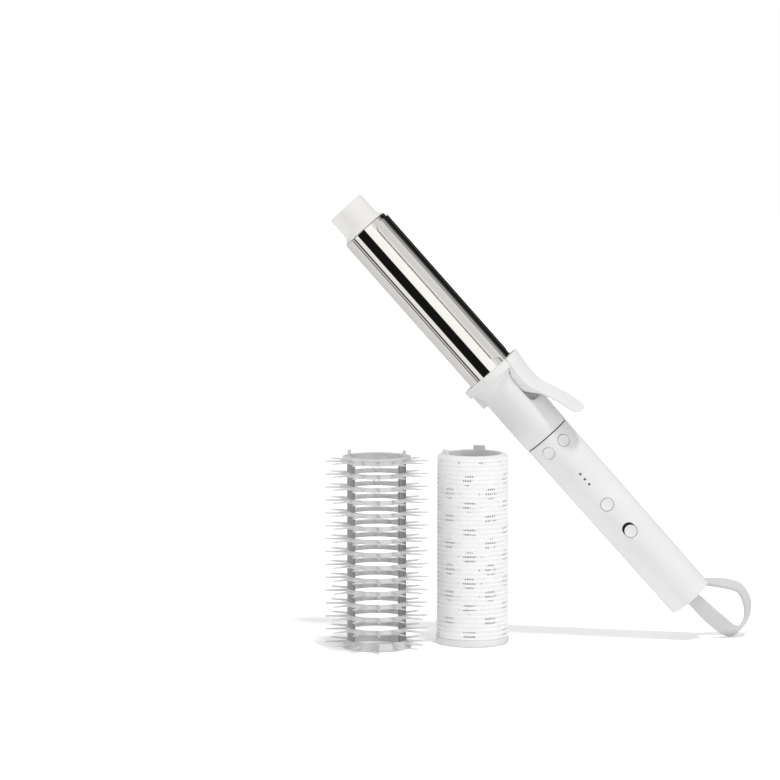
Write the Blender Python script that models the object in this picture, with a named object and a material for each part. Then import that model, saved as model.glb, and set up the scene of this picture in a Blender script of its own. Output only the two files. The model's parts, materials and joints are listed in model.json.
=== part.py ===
"""A hot-barrel curling wand with a sprung hair clip, and its two slip-on rollers: a pin roller and a
self-grip roller. The rollers stand on their base rims. The wand leans with its strap on the floor.
Lengths below are millimetres. The scene is in metres, +Z up, origin at the middle of the set's footprint."""

import math

import bmesh
import bpy
from mathutils import Matrix, Vector

MM = 0.001

# Where the three things stand (millimetres, floor plan), and how the wand leans.
GRIP_AT = (-43.8, 2.7)
PIN_AT = (-104.8, -13.3)
HANDLE_END_AT = (96.6, 16.7)
HANDLE_END_HEIGHT = 25.9
LEAN = Vector((-0.6631, 0.0402, 0.7474)).normalized()

# Wand, along its axis from the handle's end.
WAND_LENGTH = 334.0
TIP_RADIUS = 12.8
TIP_FOOT = 315.6
BARREL_RADIUS = 16.0
BARREL_BORE = 15.2
BARREL_TOP = 315.2
BARREL_FOOT = 185.0
COLLAR_RADIUS = 21.4
COLLAR_TOP = 194.5
COLLAR_FOOT = 189.2
NECK_RADIUS = 16.2
SEAM = 139.5
HANDLE_RADIUS = 15.9
HANDLE_END_RADIUS = 15.1
WALL = 1.6

# Clip and lever.
CLIP_ANGLE = 60.0
CLIP_HALF_ANGLE = 38.0
CLIP_INNER = 16.3
CLIP_OUTER = 17.2
CLIP_TOP = 312.6
PIVOT_OUT = 15.8
PIVOT_UP = 181.0
LEVER_HALF = 8.5

# Controls.
BUTTON_RADIUS = 4.05
SIDE_BUTTON_RADIUS = 3.8
SIDE_BUTTON_ANGLE = 24.0
SIDE_BUTTON_UP = 131.1
POWER_UP = 82.0
SLIDE_UP = 59.4
SLIDE_TRAVEL = 1.8
SLOT_HALF = 4.3
LAMPS_UP = (107.9, 103.6, 99.4)

# Rollers.
ROLLER_HEIGHT = 121.0
LUG_HEIGHT = 3.5
PIN_LEVELS = 15
PIN_PITCH = 8.2
PIN_FIRST = 3.1
PIN_REACH = 32.5
PIN_COLUMNS = 12
PIN_TURN = 3.3
PIN_CORE = 18.8
PIN_BORE = 17.3
PIN_RIM = 22.0
PANEL_EDGES = (52.0, 128.0, 232.0, 308.0)
GRIP_BORE = 17.7
GRIP_CORE_IN = 20.0
GRIP_CORE_OUT = 21.7
HOOK_OUT = 23.4
HOLE_TURN = -6.6

LOOKS = {
    "white_plastic": ((0.80, 0.80, 0.79), 0.45, 0.0),
    "tip_plastic": ((0.80, 0.79, 0.77), 0.40, 0.0),
    "chrome": ((0.90, 0.90, 0.90), 0.06, 1.0),
    "frosted_grey": ((0.62, 0.63, 0.64), 0.35, 0.0),
    "roller_white": ((0.86, 0.86, 0.86), 0.40, 0.0),
    "hook_fabric": ((0.88, 0.88, 0.88), 0.85, 0.0),
    "silicone": ((0.62, 0.62, 0.61), 0.60, 0.0),
    "black_plastic": ((0.02, 0.02, 0.02), 0.50, 0.0),
    "steel": ((0.60, 0.60, 0.60), 0.35, 1.0),
    "aluminium": ((0.75, 0.75, 0.76), 0.40, 1.0),
    "ceramic": ((0.75, 0.72, 0.66), 0.70, 0.0),
    "board_green": ((0.03, 0.20, 0.08), 0.50, 0.0),
    "cell_wrap": ((0.05, 0.16, 0.35), 0.40, 0.0),
    "smoke_lens": ((0.10, 0.10, 0.11), 0.25, 0.0),
}


def clear_scene():
    for thing in list(bpy.data.objects):
        bpy.data.objects.remove(thing, do_unlink=True)


def look(name):
    found = bpy.data.materials.get(name)
    if found:
        return found
    colour, rough, metal = LOOKS[name]
    made = bpy.data.materials.new(name)
    made.use_nodes = True
    shader = made.node_tree.nodes["Principled BSDF"]
    shader.inputs["Base Color"].default_value = (*colour, 1.0)
    shader.inputs["Roughness"].default_value = rough
    shader.inputs["Metallic"].default_value = metal
    return made


def anchor(name, place):
    empty = bpy.data.objects.new(name, None)
    empty.matrix_world = place
    empty.empty_display_size = 0.01
    bpy.context.scene.collection.objects.link(empty)
    return empty


def solid(name, points, faces, finish, parent):
    """A closed body from points in millimetres, with its faces turned outwards."""
    mesh = bpy.data.meshes.new(name)
    mesh.from_pydata([Vector(p) * MM for p in points], [], faces)
    work = bmesh.new()
    work.from_mesh(mesh)
    bmesh.ops.recalc_face_normals(work, faces=work.faces[:])
    work.to_mesh(mesh)
    work.free()
    mesh.materials.append(look(finish))
    made = bpy.data.objects.new(name, mesh)
    bpy.context.scene.collection.objects.link(made)
    made.parent = parent
    return made


def combine(target, other, operation):
    other.hide_render = True
    other.display_type = "WIRE"
    step = target.modifiers.new(other.name, "BOOLEAN")
    step.operation = operation
    step.solver = "EXACT"
    step.object = other
    return target


def cut(target, *cutters):
    for cutter in cutters:
        combine(target, cutter, "DIFFERENCE")


def hinge_at(thing, point):
    """Moves an object's own origin to a point in its parent's frame, leaving its shape where it is."""
    at = Vector(point) * MM
    thing.data.transform(Matrix.Translation(-at))
    thing.location = at


# Shapes in the frame of the wand: x is the control face, z runs from the handle's end to the tip.


def around(degrees, side, out, up):
    """The point `out` from the axis at this angle, then `side` along the tangent, at height `up`."""
    a = math.radians(degrees)
    return (
        out * math.cos(a) - side * math.sin(a),
        out * math.sin(a) + side * math.cos(a),
        up,
    )


def block_faces():
    return [(0, 1, 2, 3), (7, 6, 5, 4), (0, 4, 5, 1), (1, 5, 6, 2), (2, 6, 7, 3), (3, 7, 4, 0)]


def block(name, degrees, sides, outs, ups, finish, parent):
    corners = [(s, o) for s, o in ((0, 0), (1, 0), (1, 1), (0, 1))]
    points = [
        around(degrees, sides[s], outs[o], up) for up in ups for s, o in corners
    ]
    return solid(name, points, block_faces(), finish, parent)


def prism(name, outline, ups, finish, parent, degrees=0.0):
    """An outline of (side, out) points, extruded from one height to another."""
    n = len(outline)
    points = [around(degrees, s, o, up) for up in ups for s, o in outline]
    faces = [tuple(range(n)), tuple(range(2 * n - 1, n - 1, -1))]
    faces += [(i, (i + 1) % n, n + (i + 1) % n, n + i) for i in range(n)]
    return solid(name, points, faces, finish, parent)


def turned(name, profile, finish, parent, segments=40, place=None):
    """A closed (radius, height) profile turned about the axis. `place` maps (x, y, z) to its frame."""
    place = place or (lambda x, y, z: (x, y, z))
    points, rows = [], []
    for radius, height in profile:
        if radius < 1e-6:
            rows.append([len(points)] * segments)
            points.append(place(0.0, 0.0, height))
            continue
        rows.append(list(range(len(points), len(points) + segments)))
        for k in range(segments):
            a = 2 * math.pi * (k + 0.5) / segments
            points.append(place(radius * math.cos(a), radius * math.sin(a), height))
    faces = []
    for i, low in enumerate(rows):
        high = rows[(i + 1) % len(rows)]
        if low[0] == low[1] and high[0] == high[1]:
            continue
        for k in range(segments):
            n = (k + 1) % segments
            face = []
            for index in (low[k], low[n], high[n], high[k]):
                if index not in face:
                    face.append(index)
            faces.append(tuple(face))
    return solid(name, points, faces, finish, parent)


def rod(name, radius, ups, finish, parent, at=(0.0, 0.0), segments=16):
    place = lambda x, y, z: (x + at[0], y + at[1], z)
    profile = [(0.0, ups[0]), (radius, ups[0]), (radius, ups[1]), (0.0, ups[1])]
    return turned(name, profile, finish, parent, segments, place)


def radial(degrees, up):
    """Maps a turned shape so that its axis points outwards at this angle and height."""
    return lambda x, y, z: around(degrees, x, z, up + y)


def tangential(degrees, out, up):
    """Maps a turned shape so that its axis runs across, along the tangent."""
    return lambda x, y, z: around(degrees, z, out + x, up + y)


def lofted(name, sections, finish, parent):
    n = len(sections[0])
    points = [p for section in sections for p in section]
    faces = [tuple(range(n)), tuple(range(len(points) - 1, len(points) - n - 1, -1))]
    for row in range(len(sections) - 1):
        a, b = row * n, (row + 1) * n
        faces += [(a + i, a + (i + 1) % n, b + (i + 1) % n, b + i) for i in range(n)]
    return solid(name, points, faces, finish, parent)


def smooth_step(x):
    x = min(max(x, 0.0), 1.0)
    return x * x * (3 - 2 * x)


def spline(knots, x):
    """A smooth curve through (x, value) knots that rise in x. A value is a number or a Vector."""
    xs = [k[0] for k in knots]
    i = max(0, min(len(xs) - 2, sum(1 for k in xs if k <= x) - 1))
    before, after = max(i - 1, 0), min(i + 2, len(xs) - 1)
    x0, x1 = xs[i], xs[i + 1]
    y0, y1 = knots[i][1], knots[i + 1][1]
    slope0 = (y1 - knots[before][1]) / (x1 - xs[before])
    slope1 = (knots[after][1] - y0) / (xs[after] - x0)
    t, span = (x - x0) / (x1 - x0), x1 - x0
    return (
        y0 * (2 * t**3 - 3 * t**2 + 1)
        + slope0 * (span * (t**3 - 2 * t**2 + t))
        + y1 * (3 * t**2 - 2 * t**3)
        + slope1 * (span * (t**3 - t**2))
    )


# The hot end: tip, barrel and what heats it.


def make_hot_end(wand):
    top = WAND_LENGTH
    tip = [
        (0.0, top),
        (TIP_RADIUS - 1.6, top - 0.35),
        (TIP_RADIUS - 0.4, top - 0.9),
        (TIP_RADIUS, top - 2.0),
        (TIP_RADIUS + 0.1, TIP_FOOT + 5.0),
        (TIP_RADIUS + 0.9, TIP_FOOT + 2.2),
        (TIP_RADIUS + 2.3, TIP_FOOT + 0.8),
        (TIP_RADIUS + 2.9, TIP_FOOT),
        (14.7, TIP_FOOT),
        (14.7, 304.4),
        (10.5, 304.4),
        (10.5, top - 6.0),
        (0.0, top - 5.0),
    ]
    turned("cool_tip", tip, "tip_plastic", wand, 32)
    tube = [
        (BARREL_RADIUS, BARREL_FOOT),
        (BARREL_RADIUS, BARREL_TOP),
        (BARREL_BORE, BARREL_TOP),
        (BARREL_BORE, BARREL_FOOT),
    ]
    turned("barrel_tube", tube, "chrome", wand, 40)
    for name, facing in (("heater_core_front", 0.0), ("heater_core_back", 180.0)):
        arc = [math.radians(-82 + 164 * k / 14) for k in range(15)]
        outline = [(14.8 * math.sin(a), max(14.8 * math.cos(a), 1.95)) for a in arc]
        prism(name, outline, (206.0, 299.8), "aluminium", wand, facing)
    block("ptc_heater", 0.0, (-8.0, 8.0), (-1.5, 1.5), (212.0, 294.0), "ceramic", wand)
    rod("thermistor", 1.1, (240.0, 249.0), "ceramic", wand, (0.0, 11.2), 10)
    rod("thermal_fuse", 1.4, (226.0, 238.0), "steel", wand, (0.0, -11.2), 10)
    rod("tip_insulator", 14.7, (300.4, 303.9), "ceramic", wand, segments=24)
    seat = [(8.0, 199.5), (14.8, 199.5), (14.8, 204.0), (8.0, 204.0)]
    turned("base_insulator", seat, "ceramic", wand, 24)


# The collar and neck, with the pocket that the lever works in.


def neck_profile():
    fillet = []
    for k in range(7):
        a = math.radians(90 * k / 6)
        fillet.append((21.2 - 4.9 * math.sin(a), COLLAR_FOOT - 8.8 * (1 - math.cos(a)) - 0.2))
    return (
        [(16.35, COLLAR_TOP), (COLLAR_RADIUS - 0.4, COLLAR_TOP), (COLLAR_RADIUS, COLLAR_TOP - 0.4)]
        + [(COLLAR_RADIUS, COLLAR_FOOT + 0.1)]
        + fillet
        + [(NECK_RADIUS, 160.0), (NECK_RADIUS - 0.1, SEAM + 0.35)]
        + [(14.3, SEAM + 0.35), (14.3, 158.5), (9.2, 162.0), (9.2, 184.7), (16.35, 184.7)]
    )


def make_neck(wand):
    neck = turned("neck_housing", neck_profile(), "white_plastic", wand, 36)
    half = LEVER_HALF + 0.35
    corner = 3.5
    foot = []
    for side, turns in ((half - corner, (0, 30, 60, 90)), (corner - half, (90, 120, 150, 180))):
        for a in turns:
            t = math.radians(a)
            foot.append((side + corner * math.cos(t), 162.5 + corner * (1 - math.sin(t))))
    shape = foot + [(-half, 200.0), (half, 200.0)]
    points = [around(CLIP_ANGLE, s, out, up) for out in (11.3, 30.0) for s, up in shape]
    n = len(shape)
    faces = [tuple(range(n)), tuple(range(2 * n - 1, n - 1, -1))]
    faces += [(i, (i + 1) % n, n + (i + 1) % n, n + i) for i in range(n)]
    pocket = solid("cut_lever_pocket", points, faces, "black_plastic", wand)
    back = CLIP_ANGLE + 180.0
    foot_hole = block("cut_foot", back, (-4.3, 4.3), (16.3, 24.0), (177.9, 189.1), "black_plastic", wand)
    notch = block("cut_notch", back, (-4.2, 4.2), (17.4, 19.6), (190.9, 196.0), "black_plastic", wand)
    cut(neck, pocket, foot_hole, notch)
    block("rest_foot", back, (-4.0, 4.0), (16.6, 20.9), (178.2, 188.8), "white_plastic", wand)
    sleeve = [
        (12.9, 136.1),
        (13.8, 136.1),
        (13.9, SEAM - 0.2),
        (15.3, SEAM - 0.2),
        (15.3, SEAM + 0.2),
        (13.9, SEAM + 0.2),
        (13.8, 148.0),
        (12.9, 148.0),
    ]
    turned("joint_sleeve", sleeve, "black_plastic", wand, 32)


def make_hinge(wand):
    base = block("hinge_bracket", CLIP_ANGLE, (-5.5, 5.5), (11.6, 12.6), (176.5, 185.5), "steel", wand)
    knuckle = block("knuckle", CLIP_ANGLE, (-2.6, 2.6), (12.2, 17.3), (178.7, 183.3), "steel", wand)
    combine(base, knuckle, "UNION")
    across = tangential(CLIP_ANGLE, PIVOT_OUT, PIVOT_UP)
    hole = turned("cut_knuckle", [(0, -9), (1.3, -9), (1.3, 9), (0, 9)], "steel", wand, 12, across)
    cut(base, hole)
    turned("hinge_pin", [(0, -8.2), (1.0, -8.2), (1.0, 8.2), (0, 8.2)], "steel", wand, 12, across)
    sections = []
    turns, steps = 2.75, 30
    for k in range(steps + 1):
        a = 2 * math.pi * turns * k / steps
        shift = 3.5 + 2.4 * k / steps
        ring = []
        for m in range(5):
            b = 2 * math.pi * m / 5
            reach = 1.75 + 0.33 * math.cos(b)
            ring.append(across(reach * math.cos(a), reach * math.sin(a), shift + 0.33 * math.sin(b)))
        sections.append(ring)
    lofted("lever_spring", sections, "steel", wand)


# The clip: a sprung chrome plate riveted to the thumb lever.


def clip_half_angle(up):
    full = CLIP_HALF_ANGLE
    if up > CLIP_TOP - 5.0:
        drop = 5.0 - math.sqrt(max(25.0 - (up - CLIP_TOP + 5.0) ** 2, 0.0))
        return full - math.degrees(drop / CLIP_OUTER)
    if up < 201.0:
        return 21.0 + (full - 21.0) * smooth_step((up - 197.2) / 3.8)
    return full


def make_clip(wand, pivot):
    ups = [186.6, 192.0, 197.1, 198.2, 199.4, 201.0, 226.0, 254.0, 282.0, 307.6]
    ups += [CLIP_TOP - 5.0 + 5.0 * math.sin(math.radians(a)) for a in (20, 40, 60, 78, 90)]
    columns = 10
    sections = []
    for up in ups:
        half = clip_half_angle(up)
        turn = [CLIP_ANGLE - half + 2 * half * k / columns for k in range(columns + 1)]
        ring = [around(a, 0.0, CLIP_OUTER, up) for a in turn]
        ring += [around(a, 0.0, CLIP_INNER, up) for a in reversed(turn)]
        sections.append(ring)
    plate = lofted("clip_plate", sections, "chrome", wand)
    lever = lofted("clip_lever", lever_sections(), "white_plastic", wand)
    across = tangential(CLIP_ANGLE, PIVOT_OUT, PIVOT_UP)
    eye = turned("cut_lever_eye", [(0, -12), (1.3, -12), (1.3, 12), (0, 12)], "steel", wand, 12, across)
    cut(lever, eye)
    for k, side in enumerate((-3.4, 3.4)):
        place = lambda x, y, z, side=side: around(CLIP_ANGLE, side + x, z, 190.5 + y)
        hole = turned(f"cut_rivet_{k}", [(0, 14.0), (1.3, 14.0), (1.3, 19.8), (0, 19.8)], "steel", wand, 10, place)
        cut(plate, hole)
        cut(lever, hole)
        shank = [(0, 16.4), (1.0, 16.4), (1.0, 19.4), (0, 19.4)]
        hinge_at(turned(f"clip_rivet_{k + 1}", shank, "steel", wand, 10, place), pivot)
    for thing in (plate, lever):
        hinge_at(thing, pivot)


LEVER_TOP = ((137.7, 33.3), (143.0, 31.6), (149.4, 29.9), (157.0, 26.5), (165.0, 22.6), (169.0, 20.9))
LEVER_TOP += ((174.0, 20.1), (181.0, 20.5), (187.0, 21.3), (194.3, 22.4))


def lever_sections():
    ups = [137.75, 138.2, 139.3, 141.0, 144.0, 148.0, 153.0, 158.0, 163.0, 167.0, 170.5, 173.0]
    ups += [174.5, 177.0, 180.0, 183.5, 185.2, 185.9, 186.4, 190.0, 194.2]
    sections = []
    for up in ups:
        crown = spline(LEVER_TOP, up)
        half = LEVER_HALF - 1.2 * smooth_step((176.0 - up) / 14.0)
        if up < 145.0:
            half = 1.5 + (half - 1.5) * math.sqrt(max(1 - ((145.0 - up) / 7.3) ** 2, 0.0))
        bend = 22.4 + 30.0 * smooth_step((185.0 - up) / 25.0)
        surface = lambda s: crown - (bend - math.sqrt(bend**2 - s**2))
        thick = 1.5
        deep = smooth_step((up - 163.0) / 11.0)
        floor = 13.3 if up < 184.5 else 15.2
        skirt = min(1.9, half * 0.3)
        edge = surface(half) - thick - 0.12
        low = edge + (floor - edge) * deep
        outer = [(half * k / 4, surface(half * k / 4)) for k in range(-4, 5)]
        inside = half - skirt
        under = [(inside * k / 2, surface(inside * k / 2) - thick) for k in range(2, -3, -1)]
        if up > 186.0:
            under = [(s, math.sqrt(17.55**2 - s**2)) for s, _ in under]
        ring = outer + [(half, low), (inside, low)] + under + [(-inside, low), (-half, low)]
        sections.append([around(CLIP_ANGLE, s, out, up) for s, out in ring])
    return sections


# The handle, its controls and what is inside it.


def handle_radius(up):
    return HANDLE_END_RADIUS + (HANDLE_RADIUS - HANDLE_END_RADIUS) * min(up / SEAM, 1.0)


def radial_hole(name, degrees, up, radius, wand, segments=24):
    profile = [(0, 9.0), (radius, 9.0), (radius, 20.0), (0, 20.0)]
    return turned(name, profile, "black_plastic", wand, segments, radial(degrees, up))


def stadium(half_width, low, high, steps=10):
    """A round-ended outline of (side, up) points."""
    points = []
    for k in range(steps + 1):
        a = math.pi * k / steps
        points.append((half_width * math.cos(a), high - half_width + half_width * math.sin(a)))
    for k in range(steps + 1):
        a = math.pi + math.pi * k / steps
        points.append((half_width * math.cos(a), low + half_width + half_width * math.sin(a)))
    return points


def slot_cutter(wand):
    outline = stadium(SLOT_HALF, SLIDE_UP - SLOT_HALF, SLIDE_UP + SLIDE_TRAVEL + SLOT_HALF)
    n = len(outline)
    points = [around(0.0, s, out, up) for out in (9.0, 20.0) for s, up in outline]
    faces = [tuple(range(n)), tuple(range(2 * n - 1, n - 1, -1))]
    faces += [(i, (i + 1) % n, n + (i + 1) % n, n + i) for i in range(n)]
    return solid("cut_slide_slot", points, faces, "black_plastic", wand)


def make_handle(wand):
    outer = [(handle_radius(z), z) for z in (SEAM - 0.35, 100.0, 60.0, 1.2)]
    rim = [(HANDLE_END_RADIUS - 0.35, 0.25), (HANDLE_END_RADIUS - 0.9, 0.0)]
    inner = [(13.5, 0.0), (13.5, 40.0), (14.2, SEAM - 0.35)]
    shell = turned("handle_shell", outer + rim + inner, "white_plastic", wand, 36)
    cut(shell, radial_hole("cut_power", 0.0, POWER_UP, BUTTON_RADIUS + 0.3, wand), slot_cutter(wand))
    for name, angle in (("cut_plus", SIDE_BUTTON_ANGLE), ("cut_minus", -SIDE_BUTTON_ANGLE)):
        cut(shell, radial_hole(name, angle, SIDE_BUTTON_UP, SIDE_BUTTON_RADIUS + 0.3, wand))
    for k, up in enumerate(LAMPS_UP):
        cut(shell, radial_hole(f"cut_lamp_{k}", 0.0, up, 0.78, wand, 8))


def make_inside(wand):
    block("chassis_tray", 0.0, (-9.5, 9.5), (6.0, 6.9), (13.0, 148.0), "black_plastic", wand)
    board = block("control_board", 0.0, (-9.0, 9.0), (7.2, 8.4), (44.0, 144.0), "board_green", wand)
    for k, up in enumerate((90.5, 140.5)):
        hole = turned(f"cut_board_{k}", [(0, 6), (1.2, 6), (1.2, 9), (0, 9)], "steel", wand, 10, radial(0.0, up))
        cut(board, hole)
        screw = [(0, 7.15), (0.9, 7.15), (0.9, 8.7), (1.9, 8.7), (1.9, 9.8), (0, 9.8)]
        turned(f"board_screw_{k + 1}", screw, "steel", wand, 12, radial(0.0, up))
    for name, low, high in (("battery_cell_lower", 13.0, 78.0), ("battery_cell_upper", 80.6, 145.6)):
        rod(name, 9.1, (low, high), "cell_wrap", wand, (-3.4, 0.0), 24)
    for name, low, high in (
        ("battery_contact_lower", 12.0, 12.7),
        ("battery_link", 78.4, 80.2),
        ("battery_contact_upper", 145.9, 146.6),
    ):
        rod(name, 4.0, (low, high), "steel", wand, (-3.4, 0.0), 12)
    block("tact_power", 0.0, (-3.0, 3.0), (8.7, 10.6), (POWER_UP - 3, POWER_UP + 3), "black_plastic", wand)
    for name, mid in (("tact_plus", 4.6), ("tact_minus", -4.6)):
        sides = (mid - 2.2, mid + 2.2)
        ups = (SIDE_BUTTON_UP - 2.2, SIDE_BUTTON_UP + 2.2)
        block(name, 0.0, sides, (8.7, 9.8), ups, "black_plastic", wand)
    track_ups = (SLIDE_UP - 7.5, SLIDE_UP + 11.5)
    block("slide_switch", 0.0, (-3.5, 3.5), (8.7, 11.3), track_ups, "black_plastic", wand)
    cover = block("slot_cover", 0.0, (-5.1, 5.1), (11.8, 12.35), (SLIDE_UP - 6.5, SLIDE_UP + 9.0), "black_plastic", wand)
    gap = block("cut_cover", 0.0, (-1.7, 1.7), (11.0, 13.0), (SLIDE_UP - 1.8, SLIDE_UP + 4.3), "black_plastic", wand)
    cut(cover, gap)
    pipe = block("light_pipe", 0.0, (-1.3, 1.3), (11.2, 12.6), (96.8, 110.5), "smoke_lens", wand)
    for k, up in enumerate(LAMPS_UP):
        top = handle_radius(up) - 0.05
        post = turned(f"post_{k}", [(0, 12), (0.62, 12), (0.62, top), (0, top)], "smoke_lens", wand, 8, radial(0.0, up))
        combine(pipe, post, "UNION")


def make_button(name, degrees, up, radius, finish, wand):
    top = handle_radius(up) + 0.1
    shelf = math.sqrt((handle_radius(up) - WALL - 0.2) ** 2 - (radius + 0.8) ** 2) - 0.3
    profile = [
        (0.0, shelf - 1.1),
        (1.2, shelf - 1.1),
        (1.2, shelf - 0.7),
        (radius + 0.7, shelf - 0.7),
        (radius + 0.7, shelf),
        (radius, shelf),
        (radius, top - 0.35),
        (radius - 0.35, top),
        (radius - 1.0, top - 0.05),
        (0.0, top - 0.35),
    ]
    made = turned(name, profile, finish, wand, 16, radial(degrees, up))
    hinge_at(made, around(degrees, 0.0, top, up))


def make_controls(wand):
    make_button("power_button", 0.0, POWER_UP, BUTTON_RADIUS, "white_plastic", wand)
    make_button("plus_button", SIDE_BUTTON_ANGLE, SIDE_BUTTON_UP, SIDE_BUTTON_RADIUS, "white_plastic", wand)
    make_button("minus_button", -SIDE_BUTTON_ANGLE, SIDE_BUTTON_UP, SIDE_BUTTON_RADIUS, "white_plastic", wand)
    top = handle_radius(SLIDE_UP) + 0.25
    cap = [(0, 12.7), (4.0, 12.7), (4.0, top - 0.4), (3.6, top), (2.9, top - 0.05), (0, top - 0.3)]
    knob = turned("slide_knob", cap, "white_plastic", wand, 24, radial(0.0, SLIDE_UP))
    stem = block("knob_stem", 0.0, (-1.3, 1.3), (11.6, 13.2), (SLIDE_UP - 1.3, SLIDE_UP + 1.3), "white_plastic", wand)
    combine(knob, stem, "UNION")
    hinge_at(knob, around(0.0, 0.0, top, SLIDE_UP))
    hinge_at(stem, around(0.0, 0.0, top, SLIDE_UP))


def make_end(wand):
    body = [(0, 0.9), (12.8, 0.9), (13.2, 1.3), (13.2, 6.0), (0, 6.0)]
    cap = turned("end_cap", body, "white_plastic", wand, 32)
    port = block("cut_port", 0.0, (-7.0, -3.2), (-8.6, 0.9), (-1.0, 8.0), "black_plastic", wand)
    cut(cap, port)
    shell = block("charge_port", 0.0, (-6.7, -3.5), (-8.3, 0.6), (1.1, 8.0), "steel", wand)
    mouth = block("cut_mouth", 0.0, (-6.35, -3.85), (-7.95, 0.25), (0.5, 7.4), "black_plastic", wand)
    cut(shell, mouth)
    for k, (u, f) in enumerate(((-7.6, 6.6), (2.6, -9.6))):
        hole = rod(f"cut_end_screw_{k}", 2.2, (0.0, 7.0), "steel", wand, (f, u), 12)
        cut(cap, hole)
        place = lambda x, y, z, u=u, f=f: (x + f, y + u, z)
        screw = [(0, 1.6), (1.9, 1.6), (1.9, 2.9), (0.9, 2.9), (0.9, 8.2), (0, 8.2)]
        turned(f"end_screw_{k + 1}", screw, "steel", wand, 12, place)


# The strap: a soft ribbon loop. One end goes into the end cap and the other through the shell behind it.
# Each knot is (distance, offset from the handle's end, width axis, width), the offset in the scene's axes.

STRAP_LOOP = (
    (13.5, (4.4, -5.9, -3.0), (-0.66, -0.02, -0.75), 9.6),
    (27.0, (15.6, -3.2, -13.6), (-0.55, 0.16, -0.82), 10.6),
    (41.0, (27.4, 2.6, -22.06), (-0.30, 0.70, -0.62), 10.8),
    (52.0, (35.4, 7.4, -17.3), (0.12, 0.96, -0.16), 10.8),
    (63.0, (37.57, 9.4, -6.0), (0.38, 0.92, 0.05), 10.8),
    (73.0, (33.0, 9.6, 3.9), (0.30, 0.92, 0.25), 10.6),
    (83.0, (23.8, 8.4, 7.5), (0.10, 0.93, 0.34), 10.2),
    (95.0, (12.4, 7.2, 8.9), (0.03, 0.96, 0.24), 8.8),
    (101.0, (6.8, 6.6, 9.3), (0.0, 1.0, 0.06), 7.4),
    (105.0, (3.0, 6.2, 9.6), (0.0, 1.0, 0.04), 7.0),
)
STRAP_THICK = 2.7
STRAP_ROOT_AT = (6.1, 0.8)
STRAP_STEPS = 34


def strap_knots(to_wand):
    out, across = STRAP_ROOT_AT
    root = Vector((0.0, -1.0, 0.0))
    knots = [(0.0, Vector((out, across, 5.2)), root, 8.0), (4.6, Vector((out, across, 0.6)), root, 8.4)]
    for s, offset, wide, width in STRAP_LOOP:
        knots.append((s, to_wand @ Vector(offset), to_wand @ Vector(wide), width))
    return knots


def strap_section(knots, s, grow=0.0):
    last = knots[-1][0]
    paths = [[(k[0], k[i]) for k in knots] for i in (1, 2, 3)]
    here = spline(paths[0], s)
    along = (spline(paths[0], min(s + 0.5, last)) - spline(paths[0], max(s - 0.5, 0.0))).normalized()
    wide = spline(paths[1], s)
    wide = (wide - along * wide.dot(along)).normalized()
    thin = along.cross(wide)
    half, t = spline(paths[2], s) / 2 + grow, STRAP_THICK / 2 + grow
    c, r = t * 0.62, 0.11 * half
    shape = ((half, -c), (half, c), (half - r, t), (r - half, t))
    shape += tuple((-a, -b) for a, b in shape)
    return [here + wide * a + thin * b for a, b in shape], along


def strap_cutter(name, knots, stations, wand):
    """The strap's own path, a little larger, carried on past its end."""
    sections = [strap_section(knots, s, 0.35) for s in stations]
    rings = [ring for ring, _ in sections]
    first, last = knots[0][0], knots[-1][0]
    if stations[0] <= first:
        rings.insert(0, [p - sections[0][1] * 0.6 for p in rings[0]])
    if stations[-1] >= last:
        rings.append([p + sections[-1][1] * 0.6 for p in rings[-1]])
    return lofted(name, rings, "black_plastic", wand)


def make_strap(wand, to_wand):
    knots = strap_knots(to_wand)
    last = knots[-1][0]
    stations = [last * k / STRAP_STEPS for k in range(STRAP_STEPS + 1)]
    strap = lofted("strap_loop", [strap_section(knots, s)[0] for s in stations], "silicone", wand)
    near = strap_cutter("cut_strap_near", knots, (0.0, 2.5, 5.0, 7.5, 9.0), wand)
    far = strap_cutter("cut_strap_far", knots, (91.0, 94.0, 97.0, 100.0, 102.5, last), wand)
    cap, shell = bpy.data.objects["end_cap"], bpy.data.objects["handle_shell"]
    cut(cap, near, far)
    cut(shell, far)
    out, across = STRAP_ROOT_AT
    place = lambda x, y, z: (z, across + x, 3.4 + y)
    hole = turned("cut_strap_pin", [(0, 2.2), (1.05, 2.2), (1.05, 10.0), (0, 10.0)], "steel", wand, 10, place)
    cut(cap, hole)
    cut(strap, hole)
    turned("strap_pin", [(0, 2.6), (0.75, 2.6), (0.75, 9.6), (0, 9.6)], "steel", wand, 10, place)


# Rollers: a wall of cells between angles and heights, left open where a window is.


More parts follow.
